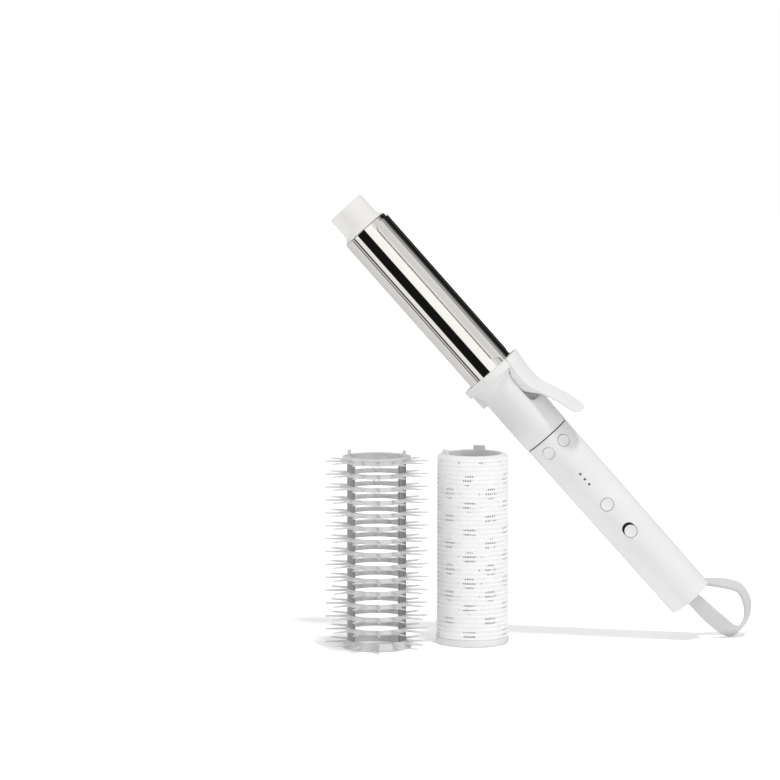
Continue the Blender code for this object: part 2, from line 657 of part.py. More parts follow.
def lattice(name, angles, ups, inner, outer, is_solid, finish, parent, pins=()):
    columns, points, faces = len(angles), [], []
    for i, up in enumerate(ups):
        for a in angles:
            for radius in (inner[i], outer[i]):
                t = math.radians(a)
                points.append(Vector((radius * math.sin(t), -radius * math.cos(t), up)))
    at = lambda i, j, side: (i * columns + j % columns) * 2 + side
    rows = len(ups) - 1
    filled = lambda i, j: 0 <= i < rows and is_solid(i, j % columns)
    for i in range(rows):
        for j in range(columns):
            if not filled(i, j):
                continue
            corners = [at(i, j, 1), at(i, j + 1, 1), at(i + 1, j + 1, 1), at(i + 1, j, 1)]
            if (i, j) in pins:
                faces += pin_on(points, corners)
            else:
                faces.append(tuple(corners))
            faces.append((at(i, j, 0), at(i + 1, j, 0), at(i + 1, j + 1, 0), at(i, j + 1, 0)))
            if not filled(i - 1, j):
                faces.append((at(i, j, 0), at(i, j + 1, 0), at(i, j + 1, 1), at(i, j, 1)))
            if not filled(i + 1, j):
                faces.append((at(i + 1, j, 0), at(i + 1, j, 1), at(i + 1, j + 1, 1), at(i + 1, j + 1, 0)))
            if not filled(i, j - 1):
                faces.append((at(i, j, 0), at(i, j, 1), at(i + 1, j, 1), at(i + 1, j, 0)))
            if not filled(i, j + 1):
                faces.append((at(i, j + 1, 0), at(i + 1, j + 1, 0), at(i + 1, j + 1, 1), at(i, j + 1, 1)))
    used = sorted({index for face in faces for index in face})
    renumber = {old: new for new, old in enumerate(used)}
    faces = [tuple(renumber[index] for index in face) for face in faces]
    return solid(name, [points[index] for index in used], faces, finish, parent)


def pin_on(points, corners):
    """Grows a tapered pin from a wall cell, and returns the cell's new faces."""
    around_cell = [points[c] for c in corners]
    middle = sum(around_cell, Vector()) / 4
    out = Vector((middle.x, middle.y, 0)).normalized()
    across, up = Vector((-out.y, out.x, 0)), Vector((0, 0, 1))
    centre = out * PIN_REACH + up * middle.z
    first = len(points)
    for s, t in ((-1, -1), (1, -1), (1, 1), (-1, 1)):
        points.append(centre + across * (s * 0.35) + up * (t * 0.35))
    tip = list(range(first, first + 4))
    faces = [tuple(tip)]
    for k in range(4):
        n = (k + 1) % 4
        faces.append((corners[k], corners[n], tip[n], tip[k]))
    return faces


def pin_roller_angles():
    """Column edges and what each column holds: a pin, a side panel, a lug, or nothing."""
    edges = list(PANEL_EDGES) + [74.0, 254.0]
    for k in range(PIN_COLUMNS):
        mid = (PIN_TURN + 30.0 * k) % 360
        edges += [mid - 2.4, mid + 2.4]
    angles = sorted(edges)
    kinds = []
    for j, low in enumerate(angles):
        mid = (low + ((angles[(j + 1) % len(angles)] - low) % 360) / 2) % 360
        kind = set()
        if abs((mid - PIN_TURN + 15.0) % 30.0 - 15.0) < 0.1:
            kind.add("pin")
        if PANEL_EDGES[0] < mid < PANEL_EDGES[1] or PANEL_EDGES[2] < mid < PANEL_EDGES[3]:
            kind.add("panel")
        if 74.0 < mid % 180 < 95.7:
            kind.add("lug")
        kinds.append(kind)
    return angles, kinds


def make_pin_roller(frame):
    angles, kinds = pin_roller_angles()
    ups, inner, outer, ring_rows = [0.0], [PIN_BORE], [PIN_RIM], []
    for k in range(PIN_LEVELS):
        mid = PIN_FIRST + PIN_PITCH * k
        low, high = mid - 1.45, mid + 1.45
        for up in (low, high):
            ups.append(up)
            inner.append(PIN_BORE)
            outer.append(PIN_CORE)
        ring_rows.append(len(ups) - 2)
    ups += [ROLLER_HEIGHT - 0.6, ROLLER_HEIGHT, ROLLER_HEIGHT + LUG_HEIGHT]
    inner += [PIN_BORE - 0.6, PIN_BORE - 0.6, PIN_BORE - 0.6]
    outer += [PIN_RIM - 0.4, PIN_RIM - 0.4, PIN_CORE - 0.4]
    outer[1], outer[-4] = PIN_CORE + 2.0, PIN_CORE + 0.6
    lug_row = len(ups) - 2
    closed = set(ring_rows) | {0, lug_row - 1, lug_row - 2}

    def is_solid(i, j):
        if i == lug_row:
            return "lug" in kinds[j]
        return i in closed or "panel" in kinds[j]

    pins = {(i, j) for i in ring_rows for j, kind in enumerate(kinds) if "pin" in kind}
    lattice("pin_roller_frame", angles, ups, inner, outer, is_solid, "frosted_grey", frame, pins)


def make_grip_roller(frame):
    half_hole = 11.0
    marks = [(HOLE_TURN + 36.0 * k) % 360 for k in range(10)]
    order = sorted(marks)
    angles, column = [], []
    for angle in order:
        angles += [angle - half_hole, angle + half_hole]
        column += [marks.index(angle) % 2, -1]
    pitch, tall = 16.2, 7.4
    ups = [4.1]
    rows = []
    mid = 8.4
    step = 0
    while mid + tall / 2 < ROLLER_HEIGHT - 5.0:
        ups += [mid - tall / 2, mid + tall / 2]
        rows.append((len(ups) - 2, step % 2))
        mid += pitch / 2
        step += 1
    ups.append(ROLLER_HEIGHT - 4.3)
    parity = dict(rows)
    inner = [GRIP_CORE_IN] * len(ups)
    outer = [GRIP_CORE_OUT] * len(ups)
    is_solid = lambda i, j: column[j] < 0 or parity.get(i) != column[j]
    lattice("grip_core_tube", angles, ups, inner, outer, is_solid, "roller_white", frame)
    hook = [(GRIP_CORE_OUT + 0.3, 4.6), (HOOK_OUT, 4.6), (HOOK_OUT, ROLLER_HEIGHT - 3.4)]
    hook.append((GRIP_CORE_OUT + 0.3, ROLLER_HEIGHT - 3.4))
    turned("hook_sleeve", hook, "hook_fabric", frame, 40)
    base = [
        (GRIP_BORE, 0.0),
        (HOOK_OUT - 0.9, 0.0),
        (HOOK_OUT - 0.2, 0.8),
        (HOOK_OUT - 0.2, 4.0),
        (19.4, 4.0),
        (19.4, 7.0),
        (GRIP_BORE, 7.0),
    ]
    turned("grip_base_ring", base, "roller_white", frame, 40)
    make_grip_top(frame)


def make_grip_top(frame):
    lugs = (-70.0, 166.0)
    step = 12.0
    angles, kinds = [], []
    for k in range(30):
        angles.append(k * step + 2.0)
    for lug in lugs:
        low, high = (lug - 11.5) % 360, (lug + 11.5) % 360
        angles = [a for a in angles if min(abs(a - low), abs(a - high)) > 3.0]
        angles += [low, high]
    angles.sort()
    inside = lambda a: any(abs((a - lug + 180) % 360 - 180) < 11.4 for lug in lugs)
    for j, a in enumerate(angles):
        after = angles[(j + 1) % len(angles)]
        middle = a + ((after - a) % 360) / 2
        kinds.append(inside(middle))
    top = ROLLER_HEIGHT
    ups = [top - 7.0, top - 3.9, top - 3.0, top - 1.8, top - 0.4, top, top + LUG_HEIGHT - 0.6]
    inner = [GRIP_BORE, GRIP_BORE, GRIP_BORE, GRIP_BORE, GRIP_BORE + 0.1, GRIP_BORE + 0.4, GRIP_BORE + 0.4]
    outer = [19.3, 19.3, 22.6, 22.2, 20.6, 19.7, 19.5]
    lug_row = len(ups) - 2
    is_solid = lambda i, j: i < lug_row or kinds[j]
    lattice("grip_top_ring", angles, ups, inner, outer, is_solid, "roller_white", frame)


def main():
    clear_scene()
    face = Vector((0.0, -1.0, 0.0))
    front = (face - LEAN * face.dot(LEAN)).normalized()
    upper = LEAN.cross(front)
    turn = Matrix((front, upper, LEAN)).transposed()
    end = Vector((*HANDLE_END_AT, HANDLE_END_HEIGHT)) * MM
    wand = anchor("wand_frame", Matrix.Translation(end) @ turn.to_4x4())
    pin = anchor("pin_roller_foot", Matrix.Translation(Vector((*PIN_AT, 0.0)) * MM))
    grip = anchor("grip_roller_foot", Matrix.Translation(Vector((*GRIP_AT, 0.0)) * MM))
    pivot = around(CLIP_ANGLE, 0.0, PIVOT_OUT, PIVOT_UP)
    make_hot_end(wand)
    make_neck(wand)
    make_hinge(wand)
    make_clip(wand, pivot)
    make_handle(wand)
    make_inside(wand)
    make_controls(wand)
    make_end(wand)
    make_strap(wand, turn.inverted())
    make_pin_roller(pin)
    make_grip_roller(grip)


main()
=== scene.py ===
"""Looks for the curling wand and its two slip-on rollers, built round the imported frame.

Lengths are millimetres, except where a value goes straight to Blender, which counts in metres.
"""

import json
import math

import bmesh
import bpy
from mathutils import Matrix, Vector

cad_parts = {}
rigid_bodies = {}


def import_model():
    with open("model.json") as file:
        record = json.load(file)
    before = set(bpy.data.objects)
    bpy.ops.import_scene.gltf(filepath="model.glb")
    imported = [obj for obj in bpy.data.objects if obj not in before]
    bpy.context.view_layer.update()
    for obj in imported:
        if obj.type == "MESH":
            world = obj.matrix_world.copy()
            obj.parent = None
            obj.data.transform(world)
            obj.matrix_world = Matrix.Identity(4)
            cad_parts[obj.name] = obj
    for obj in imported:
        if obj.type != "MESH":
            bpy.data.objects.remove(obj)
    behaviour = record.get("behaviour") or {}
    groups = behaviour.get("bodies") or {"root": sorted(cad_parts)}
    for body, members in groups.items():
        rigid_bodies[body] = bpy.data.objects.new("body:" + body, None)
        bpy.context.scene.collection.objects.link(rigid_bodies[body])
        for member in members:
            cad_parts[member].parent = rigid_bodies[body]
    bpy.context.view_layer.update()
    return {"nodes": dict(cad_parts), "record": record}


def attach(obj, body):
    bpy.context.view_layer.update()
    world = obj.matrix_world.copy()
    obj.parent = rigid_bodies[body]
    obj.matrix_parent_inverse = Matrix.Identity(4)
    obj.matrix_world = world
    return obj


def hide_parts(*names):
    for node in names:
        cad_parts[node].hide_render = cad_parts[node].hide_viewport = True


for thing in list(bpy.data.objects):
    bpy.data.objects.remove(thing, do_unlink=True)
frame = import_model()

MM = 0.001
TAU = 2 * math.pi
SLOT_OF = {row["node"]: row["material_slot"] for row in frame["record"]["subparts"]}

# Where things stand, as in the CAD.
GRIP_AT = Vector((-43.8, 2.7, 0))
PIN_AT = Vector((-104.8, -13.3, 0))
HANDLE_END = Vector((96.6, 16.7, 25.9))
LEAN = Vector((-0.6631, 0.0402, 0.7474)).normalized()
FACE = Vector((0.0, -1.0, 0.0))
FRONT = (FACE - LEAN * FACE.dot(LEAN)).normalized()
UPPER = LEAN.cross(FRONT)

# The wand. Heights run along its axis, from the handle's end to the tip.
WAND_LENGTH = 334.0
TIP_RADIUS = 12.8
TIP_FOOT = 315.6
TIP_BORE = 10.5
SPIGOT_RADIUS = 14.7
SPIGOT_FOOT = 304.4
BARREL_RADIUS = 16.0
BARREL_BORE = 15.2
BARREL_FOOT = 185.0
BARREL_TOP = 315.2
COLLAR_RADIUS = 21.4
COLLAR_BORE = 16.35
COLLAR_TOP = 194.5
COLLAR_FOOT = 189.2
NECK_RADIUS = 16.2
NECK_BORE = 14.3
NECK_THROAT = 9.2
NECK_TOP = 184.7
SEAM = 139.5
SEAM_HALF = 0.35
HANDLE_RADIUS = 15.9
HANDLE_END_RADIUS = 15.1
HANDLE_BORE = 13.5
CLIP_ANGLE = 60.0
CLIP_HALF_ANGLE = 38.0
CLIP_ROOT_HALF_ANGLE = 21.0
CLIP_FLARE_FOOT = 197.2
CLIP_FLARE_TALL = 3.8
CLIP_INNER = 16.3
CLIP_OUTER = 17.2
CLIP_TOP = 312.6
CLIP_CORNER = 5.0
LEVER_HALF = 8.5
LEVER_THICK = 1.5

# Both rollers.
ROLLER_HEIGHT = 121.0
LUG_HEIGHT = 3.5


# Materials.


def principled(name, colour, rough, **sockets):
    """A material with its node tree and its shader, whose other sockets are given by name."""
    made = bpy.data.materials.new(name)
    made.use_nodes = True
    shader = made.node_tree.nodes["Principled BSDF"]
    shader.inputs["Base Color"].default_value = (*colour, 1.0)
    shader.inputs["Roughness"].default_value = rough
    for key, value in sockets.items():
        shader.inputs[key.replace("_", " ")].default_value = value
    return made, made.node_tree, shader


def coordinates(tree, stretch=(1.0, 1.0, 1.0)):
    where = tree.nodes.new("ShaderNodeTexCoord")
    mapping = tree.nodes.new("ShaderNodeMapping")
    mapping.inputs["Scale"].default_value = stretch
    tree.links.new(where.outputs["Object"], mapping.inputs["Vector"])
    return mapping.outputs["Vector"]


def noise(tree, vector, scale, detail, rough=0.5):
    made = tree.nodes.new("ShaderNodeTexNoise")
    made.inputs["Scale"].default_value = scale
    made.inputs["Detail"].default_value = detail
    made.inputs["Roughness"].default_value = rough
    tree.links.new(vector, made.inputs["Vector"])
    return made.outputs["Fac"]


def set_stops(points, stops):
    """Gives a colour ramp its stops, as (position, colour)."""
    points[0].position, points[0].color = stops[0][0], (*stops[0][1], 1.0)
    points[1].position, points[1].color = stops[-1][0], (*stops[-1][1], 1.0)
    for at, colour in stops[1:-1]:
        points.new(at).color = (*colour, 1.0)


def ramp(tree, value, stops):
    made = tree.nodes.new("ShaderNodeValToRGB")
    set_stops(made.color_ramp.elements, stops)
    tree.links.new(value, made.inputs["Fac"])
    return made.outputs["Color"]


def spread(tree, value, low, high, start=0.0, stop=1.0):
    """Carries a value from the range start to stop onto the range low to high."""
    made = tree.nodes.new("ShaderNodeMapRange")
    limits = (("From Min", start), ("From Max", stop), ("To Min", low), ("To Max", high))
    for key, number in limits:
        made.inputs[key].default_value = number
    tree.links.new(value, made.inputs["Value"])
    return made.outputs["Result"]


def bump(tree, shader, height, strength, distance):
    made = tree.nodes.new("ShaderNodeBump")
    made.inputs["Strength"].default_value = strength
    made.inputs["Distance"].default_value = distance
    tree.links.new(height, made.inputs["Height"])
    tree.links.new(made.outputs["Normal"], shader.inputs["Normal"])


def shade(colour, by):
    return tuple(min(max(c * by, 0.0), 1.0) for c in colour)


def moulded(name, colour, rough, grain, mottle=0.03, sheen=0.08, grain_scale=2600, **sockets):
    """Moulded plastic: a fine spark-eroded grain, faint flow mottle and handling sheen."""
    made, tree, shader = principled(name, colour, rough, **sockets)
    vector = coordinates(tree)
    flow = noise(tree, vector, 28.0, 4.0)
    stops = ((0.3, shade(colour, 1 - mottle)), (0.7, shade(colour, 1 + mottle * 0.5)))
    tree.links.new(ramp(tree, flow, stops), shader.inputs["Base Color"])
    handled = spread(tree, noise(tree, vector, 90.0, 5.0), rough - sheen, rough + sheen)
    tree.links.new(handled, shader.inputs["Roughness"])
    bump(tree, shader, noise(tree, vector, grain_scale, 2.0), grain, 0.00003)
    return made


def translucent(name, colour, rough, through):
    """Moulded nylon that lets some light through."""
    return moulded(name, colour, rough, 0.12, Transmission_Weight=through, IOR=1.46)


def brushed(name, colour, rough, stretch):
    """Metal with fine drawing lines along one axis and small roughness changes."""
    made, tree, shader = principled(name, colour, rough, Metallic=1.0)
    lines = noise(tree, coordinates(tree, stretch), 60.0, 6.0, 0.7)
    tree.links.new(spread(tree, lines, rough - 0.08, rough + 0.12), shader.inputs["Roughness"])
    stops = ((0.2, shade(colour, 0.9)), (0.8, colour))
    tree.links.new(ramp(tree, lines, stops), shader.inputs["Base Color"])
    bump(tree, shader, lines, 0.15, 0.00002)
    return made


def chrome_plate():
    """Bright chrome: mirror plating with a faint polishing haze."""
    colour = (0.93, 0.92, 0.90)
    made, tree, shader = principled("chrome", colour, 0.03, Metallic=1.0)
    vector = coordinates(tree)
    haze = noise(tree, vector, 40.0, 6.0, 0.6)
    tree.links.new(spread(tree, haze, 0.004, 0.02, 0.35, 0.75), shader.inputs["Roughness"])
    stops = ((0.3, shade(colour, 0.98)), (0.7, colour))
    tree.links.new(ramp(tree, haze, stops), shader.inputs["Base Color"])
    bump(tree, shader, noise(tree, vector, 300.0, 2.0), 0.01, 0.000002)
    return made


def fabric(name, colour):
    """Hook filament: matt nylon with each thread's colour a little different."""
    made, tree, shader = principled(name, colour, 0.55, Sheen_Weight=0.3)
    threads = noise(tree, coordinates(tree), 1400.0, 3.0, 0.7)
    stops = ((0.3, shade(colour, 0.9)), (0.7, shade(colour, 1.05)))
    tree.links.new(ramp(tree, threads, stops), shader.inputs["Base Color"])
    tree.links.new(spread(tree, threads, 0.45, 0.7), shader.inputs["Roughness"])
    bump(tree, shader, threads, 0.35, 0.00006)
    return made


def board_green():
    """Solder mask over copper tracks."""
    made, tree, shader = principled("board", (0.02, 0.16, 0.06), 0.35, Coat_Weight=0.4)
    vector = coordinates(tree)
    tracks = tree.nodes.new("ShaderNodeTexVoronoi")
    tracks.distance = "MANHATTAN"
    tracks.inputs["Scale"].default_value = 260.0
    tree.links.new(vector, tracks.inputs["Vector"])
    colours = ((0.35, (0.02, 0.16, 0.06)), (0.42, (0.03, 0.26, 0.09)), (0.62, (0.02, 0.14, 0.05)))
    tree.links.new(ramp(tree, tracks.outputs["Distance"], colours), shader.inputs["Base Color"])
    bump(tree, shader, tracks.outputs["Distance"], 0.2, 0.00005)
    return made


MATERIALS = {
    "handle_white": moulded("handle_white", (0.79, 0.79, 0.785), 0.48, 0.3),
    "control_white": moulded("control_white", (0.80, 0.80, 0.795), 0.36, 0.12),
    "tip_white": moulded("tip_white", (0.79, 0.78, 0.755), 0.42, 0.18),
    "chrome": chrome_plate(),
    "pin_roller_grey": translucent("pin_roller_grey", (0.83, 0.835, 0.84), 0.34, 0.3),
    # The side panels get a dark copy of the pin roller's grey plastic: painted shade, for panels
    # that read dark between the hoops.
    "panel_painted_shade": translucent("panel_painted_shade", (0.34, 0.345, 0.35), 0.34, 0.3),
    "roller_white": translucent("roller_white", (0.95, 0.95, 0.95), 0.38, 0.2),
    # The self-grip roller's core is a mid grey: painted shade, so that its holes and the inside of
    # the tube look shadowed.
    "core_painted_shade": moulded("core_painted_shade", (0.50, 0.50, 0.50), 0.42, 0.12),
    "hook_fabric": fabric("hook_fabric", (0.97, 0.97, 0.97)),
    "silicone": moulded(
        "silicone", (0.62, 0.62, 0.615), 0.6, 0.3, 0.04, 0.1, 1500, Sheen_Weight=0.15
    ),
    "black_plastic": moulded("black_plastic", (0.018, 0.018, 0.019), 0.45, 0.3, 0.2),
    "steel": brushed("steel", (0.62, 0.62, 0.61), 0.3, (1, 1, 6)),
    "aluminium": brushed("aluminium", (0.77, 0.77, 0.78), 0.38, (4, 4, 1)),
    "ceramic": moulded("ceramic", (0.76, 0.73, 0.67), 0.7, 0.5, 0.06, 0.1, 900),
    "board": board_green(),
    "cell": moulded("cell", (0.05, 0.16, 0.35), 0.3, 0.1, 0.08, 0.05, 700),
    "smoke_lens": moulded(
        "smoke_lens", (0.09, 0.09, 0.10), 0.16, 0.05, 0.1, 0.05, 900, Coat_Weight=0.3
    ),
}
for name, node in frame["nodes"].items():
    node.data.materials.clear()
    node.data.materials.append(MATERIALS[SLOT_OF[name]])


# Shapes.


def to_world(x, y, z):
    """From the wand's own frame: x is the control face, y the upper side, z its axis."""
    return HANDLE_END + FRONT * x + UPPER * y + LEAN * z


def on_wand(degrees, side, out, up):
    """A point at an angle round the wand: out from the axis, and to one side of that line."""
    a = math.radians(degrees)
    x = out * math.cos(a) - side * math.sin(a)
    return to_world(x, out * math.sin(a) + side * math.cos(a), up)


def radial(degrees, up):
    """Stands a turned shape's own axis out from the wand's."""
    return lambda x, y, z: on_wand(degrees, x, z, up + y)


def beside(x, y):
    """Stands a turned shape's axis along the wand's, at a point beside it."""
    return lambda a, b, c: to_world(a + x, b + y, c)


def mesh_object(name, points, faces, slot):
    """A mesh from points in millimetres, with its normals outwards."""
    mesh = bpy.data.meshes.new(name)
    mesh.from_pydata([Vector(p) * MM for p in points], [], faces)
    work = bmesh.new()
    work.from_mesh(mesh)
    bmesh.ops.recalc_face_normals(work, faces=work.faces[:])
    work.to_mesh(mesh)
    work.free()
    mesh.materials.append(MATERIALS[slot])
    made = bpy.data.objects.new(name, mesh)
    bpy.context.scene.collection.objects.link(made)
    return made


def apply_modifiers(thing):
    graph = bpy.context.evaluated_depsgraph_get()
    mesh = bpy.data.meshes.new_from_object(thing.evaluated_get(graph))
    thing.modifiers.clear()
    thing.data = mesh


def cut(thing, *cutters):
    """Takes each cutter's volume out of a shape, then deletes the cutters."""
    for cutter in cutters:
        step = thing.modifiers.new("cut", "BOOLEAN")
        step.operation = "DIFFERENCE"
        step.solver = "EXACT"
        step.object = cutter
    apply_modifiers(thing)
    for cutter in cutters:
        bpy.data.objects.remove(cutter, do_unlink=True)


def round_edges(thing, width, angle, segments):
    """Rounds off every edge that is sharper than an angle."""
    step = thing.modifiers.new("round", "BEVEL")
    step.width = width * MM
    step.segments = segments
    step.limit_method = "ANGLE"
    step.angle_limit = math.radians(angle)
    apply_modifiers(thing)


def settle(thing, body, nodes, angle):
    """Smooth shading, then onto its body and the CAD nodes it stands for."""
    thing.data.shade_smooth()
    thing.data.set_sharp_from_angle(angle=math.radians(angle))
    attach(thing, body)
    if nodes:
        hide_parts(*nodes)


def strip_faces(rows, columns, closed_rows=False):
    """The four-sided faces between loops of points. closed_rows joins the last to the first."""
    faces = []
    for i in range(rows if closed_rows else rows - 1):
        for j in range(columns):
            a, b = i * columns, ((i + 1) % rows) * columns
            n = (j + 1) % columns
            faces.append((a + j, a + n, b + n, b + j))
    return faces


def filleted(corners, steps=5):
    """Profile corners (radius, height, fillet) as points, each corner turned into an arc."""
    points = []
    n = len(corners)
    for i, (r, z, f) in enumerate(corners):
        if f <= 0:
            points.append((r, z))
            continue
        here = Vector((r, z))
        a = Vector(corners[i - 1][:2]) - here
        b = Vector(corners[(i + 1) % n][:2]) - here
        half = a.angle(b) / 2
        reach = min(f / math.tan(half), a.length * 0.49, b.length * 0.49)
        start, stop = here + a.normalized() * reach, here + b.normalized() * reach
        for k in range(steps + 1):
            t = k / steps
            points.append(tuple(start * (1 - t) ** 2 + here * 2 * t * (1 - t) + stop * t * t))
    return points


def turned(name, profile, slot, place=to_world, segments=128):
    """A closed (radius, height) profile turned about the axis."""
    points, rows = [], []
    for radius, height in profile:
        if radius < 1e-6:
            rows.append([len(points)] * segments)
            points.append(place(0.0, 0.0, height))
            continue
        rows.append(list(range(len(points), len(points) + segments)))
        for k in range(segments):
            a = TAU * (k + 0.5) / segments
            points.append(place(radius * math.cos(a), radius * math.sin(a), height))
    faces = []
    for i, low in enumerate(rows):
        high = rows[(i + 1) % len(rows)]
        if low[0] == low[1] and high[0] == high[1]:
            continue
        for k in range(segments):
            n = (k + 1) % segments
            face = []
            for index in (low[k], low[n], high[n], high[k]):
                if index not in face:
                    face.append(index)
            faces.append(tuple(face))
    return mesh_object(name, points, faces, slot)


def lofted(name, sections, slot):
    """A closed shape through rings of points, with flat ends."""
    n = len(sections[0])
    points = [p for section in sections for p in section]
    faces = [tuple(range(n)), tuple(range(len(points) - 1, len(points) - n - 1, -1))]
    faces += strip_faces(len(sections), n)
    return mesh_object(name, points, faces, slot)


def prism(name, outline, outs, slot, degrees=0.0):
    """An outline of (side, up) points, carried outwards from the wand's axis."""
    sections = [[on_wand(degrees, s, out, up) for s, up in outline] for out in outs]
    return lofted(name, sections, slot)


def smooth_step(x):
    x = min(max(x, 0.0), 1.0)
    return x * x * (3 - 2 * x)


def spline(knots, x):
    """A smooth curve through (x, value) knots that rise in x. A value is a number or a Vector."""
    xs = [k[0] for k in knots]
    i = max(0, min(len(xs) - 2, sum(1 for k in xs if k <= x) - 1))
    before, after = max(i - 1, 0), min(i + 2, len(xs) - 1)
    x0, x1 = xs[i], xs[i + 1]
    y0, y1 = knots[i][1], knots[i + 1][1]
    slope0 = (y1 - knots[before][1]) / (x1 - xs[before])
    slope1 = (knots[after][1] - y0) / (xs[after] - x0)
    t, span = (x - x0) / (x1 - x0), x1 - x0
    return (
        y0 * (2 * t**3 - 3 * t**2 + 1)
        + slope0 * (span * (t**3 - 2 * t**2 + t))
        + y1 * (3 * t**2 - 2 * t**3)
        + slope1 * (span * (t**3 - t**2))
    )


# The wand: tip, barrel, clip.


def make_hot_end():
    top = WAND_LENGTH
    tip = filleted(
        (
            (0.0, top - 0.1, 0),
            (11.7, top - 0.1, 0.4),
            (TIP_RADIUS, top - 0.8, 0.7),
            (TIP_RADIUS, TIP_FOOT + 3.9, 1.7),
            (TIP_RADIUS + 1.0, TIP_FOOT + 1.4, 1.0),
            (TIP_RADIUS + 2.75, TIP_FOOT + 0.5, 0.6),
            (TIP_RADIUS + 2.9, TIP_FOOT, 0.2),
            (SPIGOT_RADIUS, TIP_FOOT, 0),
            (SPIGOT_RADIUS, SPIGOT_FOOT, 0),
            (TIP_BORE, SPIGOT_FOOT, 0),
            (TIP_BORE, top - 6.0, 0),
            (0.0, top - 5.0, 0),
        )
    )
    settle(turned("cool_tip_look", tip, "tip_white"), "wand", ["cool_tip"], 30)
    tube = filleted(
        (
            (BARREL_RADIUS, BARREL_FOOT, 0),
            (BARREL_RADIUS, BARREL_TOP, 0.25),
            (BARREL_BORE, BARREL_TOP, 0.1),
            (BARREL_BORE, BARREL_FOOT, 0),
        )
    )
    barrel = turned("barrel_look", tube, "chrome", segments=192)
    settle(barrel, "wand", ["barrel_tube"], 30)


def clip_half_angle(up):
    """Half the plate's width as an angle: narrow at the root, rounded off at the top."""
    if up > CLIP_TOP - CLIP_CORNER:
        rise = up - CLIP_TOP + CLIP_CORNER
        drop = CLIP_CORNER - math.sqrt(max(CLIP_CORNER**2 - rise**2, 0.0))
        return CLIP_HALF_ANGLE - math.degrees(drop / CLIP_OUTER)
    flare = smooth_step((up - CLIP_FLARE_FOOT) / CLIP_FLARE_TALL)
    return CLIP_ROOT_HALF_ANGLE + (CLIP_HALF_ANGLE - CLIP_ROOT_HALF_ANGLE) * flare


def clip_edge(sign, half, up):
    """One of the plate's two rounded long edges."""
    wall, middle = (CLIP_OUTER - CLIP_INNER) / 2, (CLIP_OUTER + CLIP_INNER) / 2
    points = []
    for k in range(1, 6):
        a = math.radians(sign * (90 - 30 * k))
        degrees = CLIP_ANGLE + sign * (half + math.degrees(wall * math.cos(a) / middle))
        points.append(on_wand(degrees, 0.0, middle + wall * math.sin(a), up))
    return points


def make_clip_plate():
    ups = [186.6, 190.0, 194.0] + [197.1 + 0.26 * k for k in range(16)]
    ups += [201.5 + 5.05 * k for k in range(22)]
    arc = [math.sin(math.radians(a)) for a in range(6, 91, 6)]
    ups += [CLIP_TOP - CLIP_CORNER + CLIP_CORNER * s for s in arc]
    columns = 48
    edge = math.degrees((CLIP_OUTER - CLIP_INNER) / (CLIP_OUTER + CLIP_INNER))
    sections = []
    for up in ups:
        half = max(clip_half_angle(up) - edge, 1.0)
        turns = [CLIP_ANGLE - half + 2 * half * k / columns for k in range(columns + 1)]
        ring = [on_wand(a, 0.0, CLIP_OUTER, up) for a in turns]
        ring += clip_edge(1, half, up)
        ring += [on_wand(a, 0.0, CLIP_INNER, up) for a in reversed(turns)]
        ring += clip_edge(-1, half, up)
        sections.append(ring)
    plate = lofted("clip_plate_look", sections, "chrome")
    settle(plate, "clip", ["clip_plate"], 50)


# The lever's crown: (height, distance from the wand's axis).
LEVER_CROWN = (
    (137.7, 33.3),
    (143.0, 31.6),
    (149.4, 29.9),
    (157.0, 26.5),
    (165.0, 22.6),
    (169.0, 20.9),
    (174.0, 20.1),
    (181.0, 20.5),
    (187.0, 21.3),
    (194.3, 22.4),
)
TAIL_TOP, TAIL_TALL, TAIL_HALF = 145.0, 7.3, 1.5


def lever_section(up):
    """The lever across one height: a crowned top, a lip and skirt on each side, hollow below."""
    crown = spline(LEVER_CROWN, up)
    half = LEVER_HALF - 1.2 * smooth_step((176.0 - up) / 14.0)
    if up < TAIL_TOP:
        tail = math.sqrt(max(1 - ((TAIL_TOP - up) / TAIL_TALL) ** 2, 0.0))
        half = TAIL_HALF + (half - TAIL_HALF) * tail
    bend = 22.4 + 30.0 * smooth_step((185.0 - up) / 25.0)
    surface = lambda s: crown - (bend - math.sqrt(bend**2 - s**2))
    side_top = surface(half)
    # The skirts reach down to the neck's pocket, and fade out towards the tail.
    deep = smooth_step((up - 163.0) / 11.0)
    skirt_foot = 13.3 + 1.9 * smooth_step((up - 184.2) / 1.2)
    edge = side_top - LEVER_THICK - 0.12
    low = edge + (skirt_foot - edge) * deep
    inside = half - min(1.9, half * 0.3)
    outer = [(half * k / 10, surface(half * k / 10)) for k in range(-9, 10)]
    lip = [(half - 0.18, side_top - 0.02), (half, side_top - 0.55)]
    under = [(inside * k / 6, surface(inside * k / 6) - LEVER_THICK) for k in range(6, -7, -1)]
    # Above the pocket the underside follows the clip plate that it is riveted to.
    plate, on_plate = 17.55, smooth_step((up - 185.6) / 0.6)
    under = [(s, out + (math.sqrt(plate**2 - s**2) - out) * on_plate) for s, out in under]
    right = [(half, low + 0.4), (half - 0.3, low), (inside + 0.15, low)]
    ring = [(-s, o) for s, o in reversed(lip)] + outer + lip + right + under
    ring += [(-s, o) for s, o in reversed(right)]
    return [on_wand(CLIP_ANGLE, s, out, up) for s, out in ring]


def make_lever():
    ups = [137.75, 137.9, 138.2, 138.7, 139.3, 140.1, 141.0, 142.4, 144.0]
    ups += [TAIL_TOP + k for k in range(40)]
    ups += [185.2, 185.5, 185.8, 186.2, 186.7, 188.0, 190.0, 192.0, 193.6, 194.2]
    lever = lofted("clip_lever_look", [lever_section(up) for up in ups], "handle_white")
    round_edges(lever, 0.28, 50, 2)
    settle(lever, "clip", ["clip_lever"], 60)


# Neck, handle and controls.


def block(half, low, high):
    """An oblong outline of (side, up) points for a prism."""
    return [(-half, low), (half, low), (half, high), (-half, high)]


